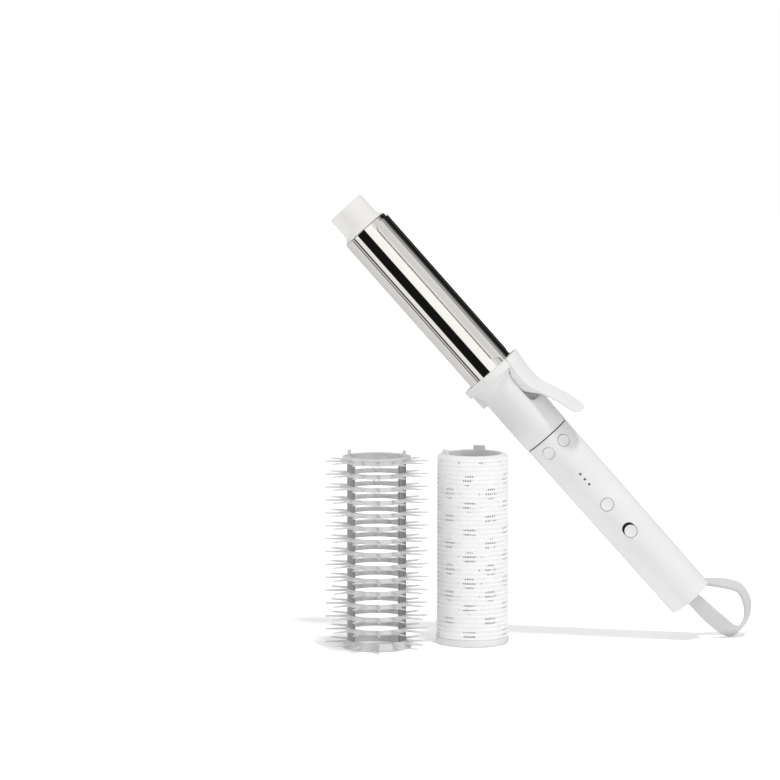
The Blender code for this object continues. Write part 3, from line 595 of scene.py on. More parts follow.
def neck_profile():
    rim = filleted(
        (
            (COLLAR_BORE, NECK_TOP, 0),
            (COLLAR_BORE, COLLAR_TOP, 0.15),
            (COLLAR_RADIUS, COLLAR_TOP, 0.6),
            (COLLAR_RADIUS, COLLAR_FOOT, 0.25),
        )
    )
    # Under the collar, a quarter of an ellipse leads in to the neck.
    wide, tall, fillet = 4.9, 8.8, []
    for k in range(17):
        a = math.radians(90 * k / 16)
        fillet.append((21.2 - wide * math.sin(a), COLLAR_FOOT - tall * (1 - math.cos(a)) - 0.2))
    wall = [
        (NECK_RADIUS, 170.0),
        (NECK_RADIUS, 160.0),
        (NECK_RADIUS - 0.05, 150.0),
        (NECK_RADIUS - 0.1, SEAM + 0.6),
        (NECK_RADIUS - 0.22, SEAM + 0.4),
        (NECK_RADIUS - 0.4, SEAM + SEAM_HALF),
    ]
    bore = [
        (NECK_BORE, SEAM + SEAM_HALF),
        (NECK_BORE, 158.5),
        (NECK_THROAT, 162.0),
        (NECK_THROAT, NECK_TOP),
    ]
    return rim[:-1] + fillet + wall + bore


# The pocket that the lever lies in, and the small foot on the other side of the neck.
POCKET_GAP, POCKET_CORNER, POCKET_FOOT, POCKET_DEPTHS = 0.35, 3.5, 162.5, (11.3, 30.0)
FOOT_HALF, FOOT_LOW, FOOT_HIGH, FOOT_DEPTHS = 4.0, 178.2, 188.8, (16.6, 20.9)
FOOT_GAP, SOCKET_DEPTHS = 0.3, (16.3, 24.0)
NOTCH_HALF, NOTCH_LOW, NOTCH_HIGH, NOTCH_DEPTHS = 4.2, 190.9, 196.0, (17.4, 19.6)


def make_neck():
    neck = turned("neck_look", neck_profile(), "handle_white", segments=160)
    half, corner = LEVER_HALF + POCKET_GAP, POCKET_CORNER
    foot = []
    for side, turns in ((half - corner, range(0, 91, 10)), (corner - half, range(90, 181, 10))):
        for a in turns:
            t = math.radians(a)
            up = POCKET_FOOT + corner * (1 - math.sin(t))
            foot.append((side + corner * math.cos(t), up))
    outline = foot + [(-half, 200.0), (half, 200.0)]
    pocket = prism("cut_pocket", outline, POCKET_DEPTHS, "black_plastic", CLIP_ANGLE)
    back = CLIP_ANGLE + 180.0
    outline = block(FOOT_HALF + FOOT_GAP, FOOT_LOW - FOOT_GAP, FOOT_HIGH + FOOT_GAP)
    socket = prism("cut_foot", outline, SOCKET_DEPTHS, "black_plastic", back)
    outline = block(NOTCH_HALF, NOTCH_LOW, NOTCH_HIGH)
    notch = prism("cut_notch", outline, NOTCH_DEPTHS, "black_plastic", back)
    cut(neck, pocket, socket, notch)
    round_edges(neck, 0.22, 50, 2)
    settle(neck, "wand", ["neck_housing"], 45)
    outline = block(FOOT_HALF, FOOT_LOW, FOOT_HIGH)
    rest_foot = prism("rest_foot_look", outline, FOOT_DEPTHS, "handle_white", back)
    round_edges(rest_foot, 0.5, 50, 4)
    settle(rest_foot, "wand", ["rest_foot"], 50)


def make_joint_sleeve():
    """The dark sleeve that shows in the seam between neck and handle."""
    bore, foot, top = 12.9, 136.1, 148.0
    profile = (
        (bore, foot),
        (13.8, foot),
        (13.9, SEAM - 0.2),
        (15.3, SEAM - 0.2),
        (15.3, SEAM + 0.2),
        (13.9, SEAM + 0.2),
        (13.8, top),
        (bore, top),
    )
    sleeve = turned("joint_sleeve_look", profile, "black_plastic")
    settle(sleeve, "wand", ["joint_sleeve"], 30)


def handle_radius(up):
    """The handle is a slight cone from its end up to the seam."""
    return HANDLE_END_RADIUS + (HANDLE_RADIUS - HANDLE_END_RADIUS) * min(up / SEAM, 1.0)


# The controls: where they are, and the radii of the keys and of their holes.
POWER_UP, POWER_RADIUS, POWER_HOLE = 82.0, 4.05, 4.35
SIDE_UP, SIDE_ANGLE, SIDE_RADIUS, SIDE_HOLE = 131.1, 24.0, 3.8, 4.1
SLIDE_UP, SLIDE_TRAVEL, SLIDE_RADIUS, SLOT_HALF = 59.4, 1.8, 4.0, 4.3
LAMPS_UP, LAMP_HOLE = (107.9, 103.6, 99.4), 0.78
CUT_DEPTHS = (9.0, 20.0)


def hole(name, degrees, up, radius, segments=64):
    low, high = CUT_DEPTHS
    profile = [(0, low), (radius, low), (radius, high), (0, high)]
    return turned(name, profile, "black_plastic", radial(degrees, up), segments)


def stadium(half_width, low, high):
    """An upright slot's outline, round at both ends."""
    points, steps = [], 24
    for centre, start in ((high - half_width, 0.0), (low + half_width, math.pi)):
        for k in range(steps + 1):
            a = start + math.pi * k / steps
            points.append((half_width * math.cos(a), centre + half_width * math.sin(a)))
    return points


def make_handle(strap_cut):
    top = handle_radius(SEAM)
    seam_edge = [
        (top - 0.4, SEAM - SEAM_HALF),
        (top - 0.12, SEAM - 0.41),
        (top - 0.02, SEAM - 0.65),
    ]
    levels = (138.0, 133.0, 124.0, 110.0, 92.0, 84.0, 75.0, 66.0, 50.0, 30.0, 8.0)
    outer = [(handle_radius(z), z) for z in levels]
    rim = filleted(
        (
            (HANDLE_END_RADIUS + 0.02, 4.0, 0),
            (HANDLE_END_RADIUS, 0.0, 1.1),
            (HANDLE_BORE, 0.0, 0.2),
            (HANDLE_BORE, 4.0, 0),
        )
    )
    inner = [(HANDLE_BORE, 40.0), (14.2, SEAM - SEAM_HALF)]
    profile = seam_edge + outer + rim + inner
    shell = turned("handle_look", profile, "handle_white", segments=160)
    outline = stadium(SLOT_HALF, SLIDE_UP - SLOT_HALF, SLIDE_UP + SLIDE_TRAVEL + SLOT_HALF)
    slot = prism("cut_slot", outline, CUT_DEPTHS, "black_plastic")
    cutters = [hole("cut_power", 0.0, POWER_UP, POWER_HOLE), slot]
    cutters.append(hole("cut_plus", SIDE_ANGLE, SIDE_UP, SIDE_HOLE))
    cutters.append(hole("cut_minus", -SIDE_ANGLE, SIDE_UP, SIDE_HOLE))
    cutters += [hole(f"cut_lamp_{k}", 0.0, up, LAMP_HOLE, 24) for k, up in enumerate(LAMPS_UP)]
    cut(shell, *cutters, strap_cut)
    round_edges(shell, 0.13, 55, 2)
    settle(shell, "wand", ["handle_shell"], 40)


def make_button(node, body, degrees, up, radius):
    """A round key with a dished face, and a flange that keeps it in its hole."""
    top = handle_radius(up) + 0.1
    shelf = math.sqrt((handle_radius(up) - 1.8) ** 2 - (radius + 0.8) ** 2) - 0.3
    corners = [
        (0.0, shelf - 1.1, 0),
        (1.2, shelf - 1.1, 0),
        (1.2, shelf - 0.7, 0),
        (radius + 0.7, shelf - 0.7, 0),
        (radius + 0.7, shelf, 0),
        (radius, shelf, 0),
        (radius, top, 0.45),
        (radius - 0.95, top, 0.3),
        (radius - 1.35, top - 0.28, 0.3),
        (0.0, top - 0.36, 0),
    ]
    made = turned(node + "_look", filleted(corners), "control_white", radial(degrees, up), 72)
    settle(made, body, [node], 40)


def make_slide():
    top = handle_radius(SLIDE_UP) + 0.25
    corners = (
        (0, 12.7, 0),
        (SLIDE_RADIUS, 12.7, 0),
        (SLIDE_RADIUS, top, 0.4),
        (SLIDE_RADIUS - 0.9, top, 0.3),
        (SLIDE_RADIUS - 1.3, top - 0.3, 0.3),
        (0, top - 0.36, 0),
    )
    knob = turned("slide_knob_look", filleted(corners), "control_white", radial(0.0, SLIDE_UP), 72)
    outline = block(1.3, SLIDE_UP - 1.3, SLIDE_UP + 1.3)
    stem = prism("slide_stem_look", outline, (11.6, 13.2), "control_white")
    round_edges(stem, 0.2, 50, 2)
    settle(knob, "slide_key", ["slide_knob"], 40)
    settle(stem, "slide_key", [], 40)


def make_controls():
    make_button("power_button", "power_key", 0.0, POWER_UP, POWER_RADIUS)
    make_button("plus_button", "plus_key", SIDE_ANGLE, SIDE_UP, SIDE_RADIUS)
    make_button("minus_button", "minus_key", -SIDE_ANGLE, SIDE_UP, SIDE_RADIUS)
    make_slide()


# The strap: a soft ribbon loop, along the same path as the CAD solid. Each knot is (distance along
# it, offset from the handle's end, width axis, width), the offset in the scene's axes.
STRAP_LOOP = (
    (13.5, (4.4, -5.9, -3.0), (-0.66, -0.02, -0.75), 9.6),
    (27.0, (15.6, -3.2, -13.6), (-0.55, 0.16, -0.82), 10.6),
    (41.0, (27.4, 2.6, -22.06), (-0.30, 0.70, -0.62), 10.8),
    (52.0, (35.4, 7.4, -17.3), (0.12, 0.96, -0.16), 10.8),
    (63.0, (37.57, 9.4, -6.0), (0.38, 0.92, 0.05), 10.8),
    (73.0, (33.0, 9.6, 3.9), (0.30, 0.92, 0.25), 10.6),
    (83.0, (23.8, 8.4, 7.5), (0.10, 0.93, 0.34), 10.2),
    (95.0, (12.4, 7.2, 8.9), (0.03, 0.96, 0.24), 8.8),
    (101.0, (6.8, 6.6, 9.3), (0.0, 1.0, 0.06), 7.4),
    (105.0, (3.0, 6.2, 9.6), (0.0, 1.0, 0.04), 7.0),
)
STRAP_THICK = 2.7
STRAP_CORNER = 0.85
STRAP_ROOT = (6.1, 0.8)
STRAP_CLEARANCE = 0.35
STRAP_RUN_ON = 0.6
NEAR_STATIONS = (0.0, 2.5, 5.0, 7.5, 9.0)
FAR_STATIONS = [91.0 + 14.0 * k / 10 for k in range(11)]


def strap_knots():
    x, y = STRAP_ROOT
    root = -UPPER
    knots = [(0.0, to_world(x, y, 5.2), root, 8.0), (4.6, to_world(x, y, 0.6), root, 8.4)]
    for s, offset, wide, width in STRAP_LOOP:
        knots.append((s, HANDLE_END + Vector(offset), Vector(wide), width))
    return knots


def strap_ring(knots, s, grow):
    """The strap's section at a distance along it, and the direction that it runs in there."""
    last = knots[-1][0]
    paths = [[(k[0], k[i]) for k in knots] for i in (1, 2, 3)]
    here = spline(paths[0], s)
    ahead, behind = spline(paths[0], min(s + 0.5, last)), spline(paths[0], max(s - 0.5, 0.0))
    along = (ahead - behind).normalized()
    wide = spline(paths[1], s)
    wide = (wide - along * wide.dot(along)).normalized()
    thin = along.cross(wide)
    half, t = spline(paths[2], s) / 2 + grow, STRAP_THICK / 2 + grow
    soft, steps = STRAP_CORNER, 5
    shape = []
    for su, sv, start in ((1, 1, 0), (-1, 1, 90), (-1, -1, 180), (1, -1, 270)):
        for k in range(steps + 1):
            a = math.radians(start + 90 * k / steps)
            x = su * (half - soft) + soft * math.cos(a)
            shape.append((x, sv * (t - soft) + soft * math.sin(a)))
    return [here + wide * a + thin * b for a, b in shape], along


def strap_cutter(name, stations):
    """The strap's own path, a little larger, carried on past its end."""
    knots = strap_knots()
    rings = [strap_ring(knots, s, STRAP_CLEARANCE) for s in stations]
    sections = [ring for ring, _ in rings]
    if stations[0] <= 0:
        sections.insert(0, [p - rings[0][1] * STRAP_RUN_ON for p in sections[0]])
    if stations[-1] >= knots[-1][0]:
        sections.append([p + rings[-1][1] * STRAP_RUN_ON for p in sections[-1]])
    return lofted(name, sections, "silicone")


def make_strap():
    knots = strap_knots()
    stations = [knots[-1][0] * k / 150 for k in range(151)]
    strap = lofted("strap_look", [strap_ring(knots, s, 0.0)[0] for s in stations], "silicone")
    settle(strap, "wand", ["strap_loop"], 50)


# The end cap: its screws, as (x, y) beside the axis, and its charging port, as (y, x) corners.
END_SCREWS = ((6.6, -7.6), (-9.6, 2.6))
PORT = (
    (-6.1, -8.6),
    (-4.1, -8.6),
    (-3.2, -7.7),
    (-3.2, 0.0),
    (-4.1, 0.9),
    (-6.1, 0.9),
    (-7.0, 0.0),
    (-7.0, -7.7),
)
SCREW = (
    (0.0, 2.1, 0),
    (0.75, 2.1, 0),
    (0.75, 1.75, 0),
    (1.2, 1.6, 0),
    (1.9, 1.75, 0.2),
    (1.9, 2.9, 0),
    (0.9, 2.9, 0),
    (0.9, 8.2, 0),
    (0, 8.2, 0),
)
SCREW_HOLE = ((0, 0.0), (2.2, 0.0), (2.2, 7.0), (0, 7.0))


def make_end_cap():
    corners = ((0, 0.9, 0), (13.2, 0.9, 0.6), (13.2, 6.0, 0), (0, 6.0, 0))
    cap = turned("end_cap_look", filleted(corners), "handle_white")
    cutters = [strap_cutter("cut_near", NEAR_STATIONS), strap_cutter("cut_far", FAR_STATIONS)]
    port = [[to_world(x, y, up) for y, x in PORT] for up in (-1.0, 8.0)]
    cutters.append(lofted("cut_port", port, "black_plastic"))
    for k, (x, y) in enumerate(END_SCREWS):
        cutters.append(turned(f"cut_end_screw_{k}", SCREW_HOLE, "steel", beside(x, y), 32))
    cut(cap, *cutters)
    round_edges(cap, 0.12, 55, 2)
    settle(cap, "wand", ["end_cap"], 40)
    for k, (x, y) in enumerate(END_SCREWS):
        name = f"end_screw_{k + 1}"
        screw = turned(name + "_look", filleted(SCREW, 3), "steel", beside(x, y), 32)
        settle(screw, "wand", [name], 40)


# Rollers.


def polar(base, degrees, radius, up):
    t = math.radians(degrees)
    return base + Vector((radius * math.sin(t), -radius * math.cos(t), up))


class Soup:
    """Collects points and faces of many small closed shapes for one mesh."""

    def __init__(self):
        self.points, self.faces = [], []

    def add(self, points, faces):
        first = len(self.points)
        self.points += points
        self.faces += [tuple(first + i for i in face) for face in faces]

    def ring(self, base, profile, segments=144):
        """A closed (radius, height) profile turned about an upright axis."""
        turns = [360.0 * k / segments for k in range(segments)]
        points = [polar(base, degrees, r, z) for degrees in turns for r, z in profile]
        self.add(points, strip_faces(segments, len(profile), closed_rows=True))

    def arc(self, base, profile, low, high, steps):
        """The same, between two angles, with its ends closed."""
        n = len(profile)
        turns = [low + (high - low) * k / steps for k in range(steps + 1)]
        points = [polar(base, degrees, r, z) for degrees in turns for r, z in profile]
        faces = strip_faces(steps + 1, n)
        faces += [tuple(range(n)), tuple(range(len(points) - 1, len(points) - n - 1, -1))]
        self.add(points, faces)

    def pin(self, base, degrees, up, start, stop, radius, tip):
        """A tapered pin with a rounded end, pointing straight out."""
        t, sides = math.radians(degrees), 10
        out = Vector((math.sin(t), -math.cos(t), 0))
        across, rise = Vector((-out.y, out.x, 0)), Vector((0, 0, 1))
        taper = stop - tip - start
        rows = [(start, radius * 1.5), (start + 0.5, radius * 1.12), (start + 1.2, radius)]
        rows += [(start + taper * s, radius + (tip - radius) * s) for s in (0.3, 0.65, 1.0)]
        for a in (math.radians(30), math.radians(60)):
            rows.append((stop - tip * (1 - math.sin(a)), tip * math.cos(a)))
        points = []
        for reach, r in rows:
            for k in range(sides):
                a = TAU * k / sides
                lift = rise * (up + r * math.sin(a))
                points.append(base + out * reach + across * (r * math.cos(a)) + lift)
        points.append(base + out * stop + rise * up)
        last = (len(rows) - 1) * sides
        faces = strip_faces(len(rows), sides) + [tuple(range(sides))]
        faces += [(last + k, last + (k + 1) % sides, len(points) - 1) for k in range(sides)]
        self.add(points, faces)

    def build(self, name, slot):
        return mesh_object(name, self.points, self.faces, slot)


def rect_profile(r0, r1, z0, z1, soft, steps=3):
    """An oblong profile between two radii and two heights, with its corners rounded."""
    return filleted(((r0, z0, soft), (r1, z0, soft), (r1, z1, soft), (r0, z1, soft)), steps)


# The pin roller: its cage of hoops, the pins on them, the two side panels and the two lugs.
CAGE_INNER, CAGE_OUTER, BRIM_INNER, HOOP_HALF = 17.3, 18.85, 16.8, 1.45
PIN_PITCH, PIN_FIRST, PIN_LEVELS, PIN_COLUMNS, PIN_TURN = 8.2, 3.1, 15, 12, 3.3
PIN_ROOT, PIN_REACH, PIN_RADIUS, PIN_TIP = 18.3, 32.5, 0.88, 0.48
PIN_PANELS = ((52.0, 128.0), (232.0, 308.0))
PIN_LUGS = ((74.0, 95.7), (254.0, 275.7))


def make_pin_roller():
    rings, panels, pins = Soup(), Soup(), Soup()
    for k in range(PIN_LEVELS):
        mid = PIN_FIRST + PIN_PITCH * k
        if 0 < k < PIN_LEVELS - 1:
            low, high = mid - HOOP_HALF, mid + HOOP_HALF
            rings.ring(PIN_AT, rect_profile(CAGE_INNER, CAGE_OUTER, low, high, 0.35))
        for j in range(PIN_COLUMNS):
            degrees = PIN_TURN + 360.0 / PIN_COLUMNS * j
            pins.pin(PIN_AT, degrees, mid, PIN_ROOT, PIN_REACH, PIN_RADIUS, PIN_TIP)
    foot = filleted(
        (
            (CAGE_INNER, 0.0, 0.2),
            (22.0, 0.0, 0.35),
            (22.0, 0.75, 0.3),
            (20.6, 1.8, 0.5),
            (CAGE_OUTER, 4.55, 0.3),
            (CAGE_INNER, 4.55, 0.3),
        )
    )
    rings.ring(PIN_AT, foot)
    brim_foot = PIN_FIRST + PIN_PITCH * (PIN_LEVELS - 1) - HOOP_HALF
    brim = filleted(
        (
            (BRIM_INNER, brim_foot, 0.3),
            (CAGE_OUTER, brim_foot, 0.3),
            (19.0, ROLLER_HEIGHT - 1.8, 0.6),
            (21.6, ROLLER_HEIGHT - 0.6, 0.3),
            (21.6, ROLLER_HEIGHT, 0.25),
            (BRIM_INNER, ROLLER_HEIGHT, 0.3),
        )
    )
    rings.ring(PIN_AT, brim)
    for low, high in PIN_PANELS:
        panels.arc(PIN_AT, rect_profile(17.35, 18.6, 2.0, 119.6, 0.25), low, high, 34)
    lug = rect_profile(BRIM_INNER, 18.3, ROLLER_HEIGHT - 1.5, ROLLER_HEIGHT + LUG_HEIGHT, 0.5)
    for low, high in PIN_LUGS:
        rings.arc(PIN_AT, lug, low, high, 12)
    body, slot = "pin_roller", "pin_roller_grey"
    settle(rings.build("pin_roller_rings", slot), body, ["pin_roller_frame"], 50)
    # The side panels take the dark copy of the grey plastic, which is painted shade.
    settle(panels.build("pin_roller_panels", "panel_painted_shade"), body, [], 50)
    settle(pins.build("pin_roller_pins", slot), body, [], 50)


# The self-grip roller's holes: the angle between two columns, and half a hole's own angle.
HOLE_TURN, HOLE_COLUMNS, HOLE_STEP, HOLE_HALF = -6.6, 10, 36.0, 11.0
HOLE_FIRST, HOLE_PITCH, HOLE_TALL = 8.4, 16.2, 7.4


def make_core(inner, outer, low, high):
    """A perforated tube: columns of round holes, staggered, each in its own square of wall."""
    mids_of = ([], [])
    mid, step = HOLE_FIRST, 0
    while mid + HOLE_TALL / 2 < ROLLER_HEIGHT - 5.0:
        mids_of[step % 2].append(mid)
        mid += HOLE_PITCH / 2
        step += 1
    soup, n = Soup(), 32
    for column in range(HOLE_COLUMNS):
        centre = HOLE_TURN + HOLE_STEP * column
        mids = mids_of[column % 2]
        bounds = [low] + [(a + b) / 2 for a, b in zip(mids, mids[1:])] + [high]
        for m, z0, z1 in zip(mids, bounds, bounds[1:]):
            edge, rim = [], []
            for k in range(n):
                a = TAU * (k + 0.5) / n
                c, s = math.cos(a), math.sin(a)
                rim.append((centre + HOLE_HALF * c, m + HOLE_TALL / 2 * s))
                stretch = 1.0 / max(abs(c), abs(s))
                reach = z1 - m if s > 0 else m - z0
                edge.append((centre + HOLE_STEP / 2 * c * stretch, m + reach * s * stretch))
            points = []
            for radius in (outer, inner):
                points += [polar(GRIP_AT, a, radius, z) for a, z in edge + rim]
            faces = []
            for k in range(n):
                j = (k + 1) % n
                faces.append((k, j, n + j, n + k))
                faces.append((2 * n + k, 3 * n + k, 3 * n + j, 2 * n + j))
                faces.append((n + k, n + j, 3 * n + j, 3 * n + k))
            soup.add(points, faces)
    return soup


def welded(thing):
    """Joins the squares of a perforated tube where they meet."""
    weld = bmesh.new()
    weld.from_mesh(thing.data)
    bmesh.ops.remove_doubles(weld, verts=weld.verts[:], dist=0.02 * MM)
    bmesh.ops.recalc_face_normals(weld, faces=weld.faces[:])
    weld.to_mesh(thing.data)
    weld.free()
    return thing


# The self-grip roller's rings and lugs, and its sleeve of woven hook tape.
GRIP_BORE = 17.7
GRIP_LUGS, GRIP_LUG_HALF = (-70.0, 166.0), 11.5
HOOK_FIRST, HOOK_PITCH, HOOK_ROWS, HOOK_COUNT = 5.2, 2.83, 41, 128
HOOK_SIDES, HOOK_THIN = 3, 0.05
CORE_INNER, CORE_OUTER = 20.0, 21.7
BACKING_INNER, BACKING_OUTER = 22.05, 22.32
BAND_INNER, BAND_OUTER, BAND_HALF = 22.28, 22.56, 0.86
THREAD_INNER, THREAD_OUTER, THREAD_COUNT, THREAD_HALF_ANGLE = 22.26, 22.5, 96, 0.8
# One hook's filament, as (distance from the axis, sideways, up) from its root to its tip.
HOOK_PATH = (
    (22.6, 0.0, 0.0),
    (22.95, 0.06, 0.2),
    (23.2, 0.3, 0.12),
    (23.25, 0.55, -0.15),
    (23.05, 0.7, -0.3),
)


def make_core_tube():
    tube = make_core(CORE_INNER, CORE_OUTER, 4.1, ROLLER_HEIGHT - 4.3)
    # The core takes the mid grey, which is painted shade seen through the holes and inside the
    # tube.
    tube = welded(tube.build("grip_core_look", "core_painted_shade"))
    settle(tube, "self_grip_roller", ["grip_core_tube"], 40)


def make_sleeve():
    """A punched backing, with flat woven bands and thin warp threads on it."""
    backing = make_core(BACKING_INNER, BACKING_OUTER, 4.3, ROLLER_HEIGHT - 3.5)
    backing = welded(backing.build("hook_sleeve_backing", "hook_fabric"))
    settle(backing, "self_grip_roller", [], 50)
    weave = Soup()
    for i in range(HOOK_ROWS):
        mid = HOOK_FIRST + HOOK_PITCH * i
        low, high = mid - BAND_HALF, mid + BAND_HALF
        weave.ring(GRIP_AT, rect_profile(BAND_INNER, BAND_OUTER, low, high, 0.12, 1), 120)
    top = HOOK_FIRST + HOOK_PITCH * (HOOK_ROWS - 1)
    thread = rect_profile(THREAD_INNER, THREAD_OUTER, 4.7, top + 1.0, 0.06, 1)
    for k in range(THREAD_COUNT):
        middle = 360.0 / THREAD_COUNT * k
        weave.arc(GRIP_AT, thread, middle - THREAD_HALF_ANGLE, middle + THREAD_HALF_ANGLE, 1)
    weave = weave.build("hook_sleeve_bands", "hook_fabric")
    settle(weave, "self_grip_roller", ["hook_sleeve"], 50)


def draws(seed):
    """Repeatable numbers from -0.5 to 0.5."""
    while True:
        seed = (seed * 1103515245 + 12345) % 2147483648
        yield seed / 2147483648.0 - 0.5


def make_hooks():
    """Rows of small hooks that stand on the bands, each leaning its own way."""
    hooks, draw = Soup(), draws(12345)
    for i in range(HOOK_ROWS):
        mid = HOOK_FIRST + HOOK_PITCH * i
        for k in range(HOOK_COUNT):
            wobble, tilt = next(draw), next(draw)
            angle = 360.0 * (k + (i % 2) * 0.5 + 0.35 * wobble) / HOOK_COUNT
            flip = 1 if (k + i) % 2 else -1
            points = []
            for radius, side, rise in HOOK_PATH:
                a = angle + math.degrees((side * flip + 0.25 * tilt) / radius)
                z = mid + rise + 0.5 * wobble
                for s in range(HOOK_SIDES):
                    b = TAU * s / HOOK_SIDES
                    out, up = HOOK_THIN * math.cos(b), HOOK_THIN * math.sin(b)
                    points.append(polar(GRIP_AT, a, radius + out, z + up))
            faces = strip_faces(len(HOOK_PATH), HOOK_SIDES) + [tuple(range(HOOK_SIDES))]
            faces.append(tuple(range(len(points) - 1, len(points) - HOOK_SIDES - 1, -1)))
            hooks.add(points, faces)
    hooks = hooks.build("hook_sleeve_hooks", "hook_fabric")
    settle(hooks, "self_grip_roller", [], 80)


def make_base_ring():
    base = filleted(
        (
            (GRIP_BORE, 0.0, 0.3),
            (22.5, 0.0, 0.4),
            (23.2, 0.8, 0.4),
            (23.2, 4.0, 0.4),
            (21.9, 4.4, 0.2),
            (19.4, 4.4, 0),
            (19.4, 7.0, 0),
            (GRIP_BORE, 7.0, 0.3),
        )
    )
    ring = Soup()
    ring.ring(GRIP_AT, base)
    ring = ring.build("grip_base_look", "roller_white")
    settle(ring, "self_grip_roller", ["grip_base_ring"], 40)


def make_top_ring():
    top = ROLLER_HEIGHT
    brim = filleted(
        (
            (GRIP_BORE, top - 7.0, 0.2),
            (19.3, top - 7.0, 0),
            (19.3, top - 3.9, 0),
            (22.2, top - 3.4, 0.3),
            (22.2, top - 1.4, 0.6),
            (20.4, top, 0.7),
            (18.0, top, 0.4),
        )
    )
    crown = Soup()
    crown.ring(GRIP_AT, brim)
    profile = rect_profile(18.1, 19.6, top - 0.8, top + LUG_HEIGHT - 0.6, 0.4)
    for lug in GRIP_LUGS:
        crown.arc(GRIP_AT, profile, lug - GRIP_LUG_HALF, lug + GRIP_LUG_HALF, 14)
    crown = crown.build("grip_top_look", "roller_white")
    settle(crown, "self_grip_roller", ["grip_top_ring"], 40)


make_hot_end()
make_clip_plate()
make_lever()
make_neck()
make_joint_sleeve()
make_strap()
make_handle(strap_cutter("cut_far_shell", FAR_STATIONS))
make_end_cap()
make_controls()
make_pin_roller()
make_core_tube()
make_sleeve()
make_hooks()
make_base_ring()
make_top_ring()


# The studio. Its lengths are metres.

FLOOR_HALF = 7.0
FLOOR_DROP = 0.0002
# The white surroundings light the scene with this strength. The camera sees them at 1.
SKY = 0.72
KEY_STRENGTH = 1.35
KEY_SPREAD = 6.0
KEY_DIRECTION = Vector((-0.12, 0.20, -0.97)).normalized()
LOOK_AT = Vector((-0.09636, 0.0, 0.16133))
CAMERA_PITCH = math.radians(5.5)
CAMERA_DISTANCE = 1.8967
CAMERA_LENS = 138.5

# What the chrome sees: (angle round the barrel from the front towards its upper side, level).
STRIPS = (
    (-180, 0.60), (-84, 0.72), (-82, 0.05), (-78, 0.05), (-76, 0.80), (-73, 0.80), (-71, 0.04),
    (-64, 0.04), (-62, 0.85), (-44, 0.90), (-42.5, 0.008), (-1.5, 0.008), (0.0, 1.0), (36, 1.05),
    (42, 0.80), (60, 0.68), (82, 0.74), (89, 0.62), (91, 0.15), (94, 0.15), (96, 0.60),
    (99, 0.60), (101, 0.12), (109, 0.10), (112, 0.012), (138, 0.012), (141, 0.07), (145, 0.07),
    (148, 0.012), (168, 0.010), (172, 0.4),
)


def warm(level):
    """A grey level as a colour, a little warm where it is bright."""
    bright = min(level, 1.0)
    return (level, level * (1 - 0.02 * bright), level * (1 - 0.045 * bright))


def make_world():
    """White all round, with long dark and light strips that only reflections see."""
    world = bpy.data.worlds.new("studio")
    bpy.context.scene.world = world
    world.use_nodes = True
    tree = world.node_tree
    tree.nodes.clear()
    new, link = tree.nodes.new, tree.links.new
    where = new("ShaderNodeTexCoord")

    def math_node(operation, *values):
        made = new("ShaderNodeMath")
        made.operation = operation
        for socket, value in zip(made.inputs, values):
            if isinstance(value, (int, float)):
                socket.default_value = value
            else:
                link(value, socket)
        return made.outputs[0]

    def along(axis):
        made = new("ShaderNodeVectorMath")
        made.operation = "DOT_PRODUCT"
        link(where.outputs["Generated"], made.inputs[0])
        made.inputs[1].default_value = axis
        return made.outputs["Value"]

    turn = math_node("ARCTAN2", along(UPPER), along(FRONT))
    strips = new("ShaderNodeValToRGB")
    stops = [(degrees / 360.0 + 0.5, warm(level)) for degrees, level in STRIPS]
    set_stops(strips.color_ramp.elements, stops)
    link(math_node("ADD", math_node("DIVIDE", turn, TAU), 0.5), strips.inputs["Fac"])
    rays = new("ShaderNodeLightPath")
    plain, reflected = new("ShaderNodeBackground"), new("ShaderNodeBackground")
    plain.inputs["Color"].default_value = (1.0, 1.0, 1.0, 1.0)
    to_camera = math_node("MULTIPLY", rays.outputs["Is Camera Ray"], 1.0 - SKY)
    link(math_node("ADD", SKY, to_camera), plain.inputs["Strength"])
    link(strips.outputs["Color"], reflected.inputs["Color"])
    mix, out = new("ShaderNodeMixShader"), new("ShaderNodeOutputWorld")
    link(rays.outputs["Is Glossy Ray"], mix.inputs[0])
    link(plain.outputs[0], mix.inputs[1])
    link(reflected.outputs[0], mix.inputs[2])
    link(mix.outputs[0], out.inputs["Surface"])


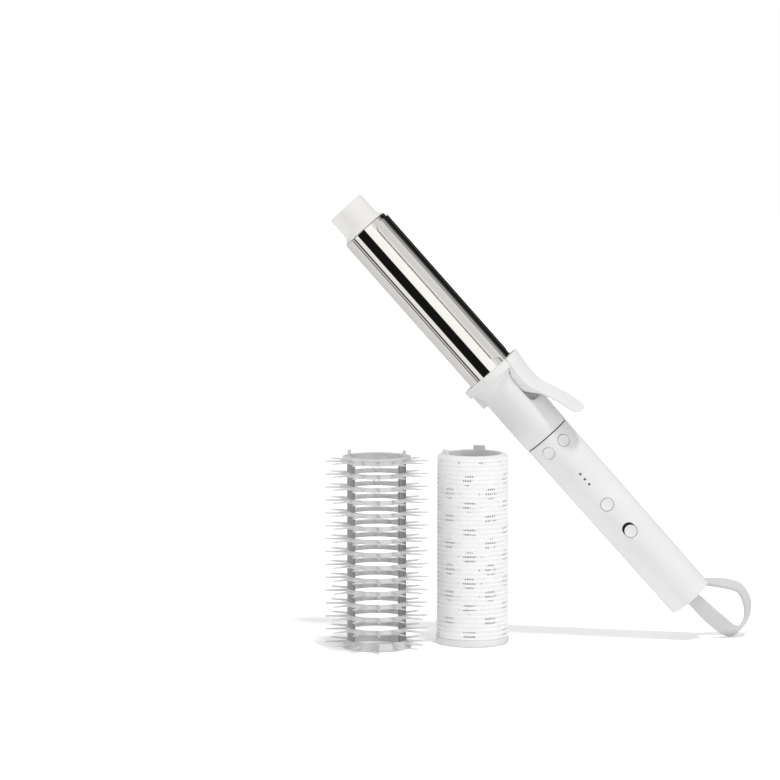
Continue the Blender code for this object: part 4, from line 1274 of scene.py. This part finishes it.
def make_floor():
    made, tree, shader = principled(
        "floor",
        (0.93, 0.93, 0.93),
        0.6,
        Specular_IOR_Level=0.0,
        Emission_Color=(1.0, 1.0, 1.0, 1.0),
        Emission_Strength=0.16,
    )
    stops = ((0.0, (0.925, 0.925, 0.925)), (1.0, (0.94, 0.94, 0.94)))
    patches = ramp(tree, noise(tree, coordinates(tree), 8.0, 2.0), stops)
    tree.links.new(patches, shader.inputs["Base Color"])
    mesh = bpy.data.meshes.new("floor")
    a, z = FLOOR_HALF, -FLOOR_DROP
    mesh.from_pydata([(-a, -a, z), (a, -a, z), (a, a, z), (-a, a, z)], [], [(0, 1, 2, 3)])
    mesh.materials.append(made)
    floor = bpy.data.objects.new("floor", mesh)
    bpy.context.scene.collection.objects.link(floor)
    floor.visible_glossy = False


def aim(thing, direction):
    thing.rotation_mode = "QUATERNION"
    thing.rotation_quaternion = direction.to_track_quat("-Z", "Y")


def make_key():
    sun = bpy.data.lights.new("key", "SUN")
    sun.energy = KEY_STRENGTH
    sun.angle = math.radians(KEY_SPREAD)
    key = bpy.data.objects.new("key", sun)
    bpy.context.scene.collection.objects.link(key)
    aim(key, KEY_DIRECTION)
    key.visible_glossy = False


def make_camera():
    scene = bpy.context.scene
    camera = bpy.data.objects.new("camera", bpy.data.cameras.new("camera"))
    scene.collection.objects.link(camera)
    sight = Vector((0, math.cos(CAMERA_PITCH), -math.sin(CAMERA_PITCH)))
    camera.location = LOOK_AT - sight * CAMERA_DISTANCE
    aim(camera, LOOK_AT - camera.location)
    camera.data.lens = CAMERA_LENS
    camera.data.sensor_width = 36.0
    camera.data.clip_start = 0.05
    camera.data.clip_end = 50.0
    scene.camera = camera
    scene.view_settings.view_transform = "Standard"


make_world()
make_floor()
make_key()
make_camera()

# The barrel reflects the strips only, and not the rollers beside it.
for name in (
    "pin_roller_rings",
    "pin_roller_panels",
    "pin_roller_pins",
    "grip_core_look",
    "grip_base_look",
    "grip_top_look",
    "hook_sleeve_backing",
    "hook_sleeve_bands",
    "hook_sleeve_hooks",
):
    bpy.data.objects[name].visible_glossy = False
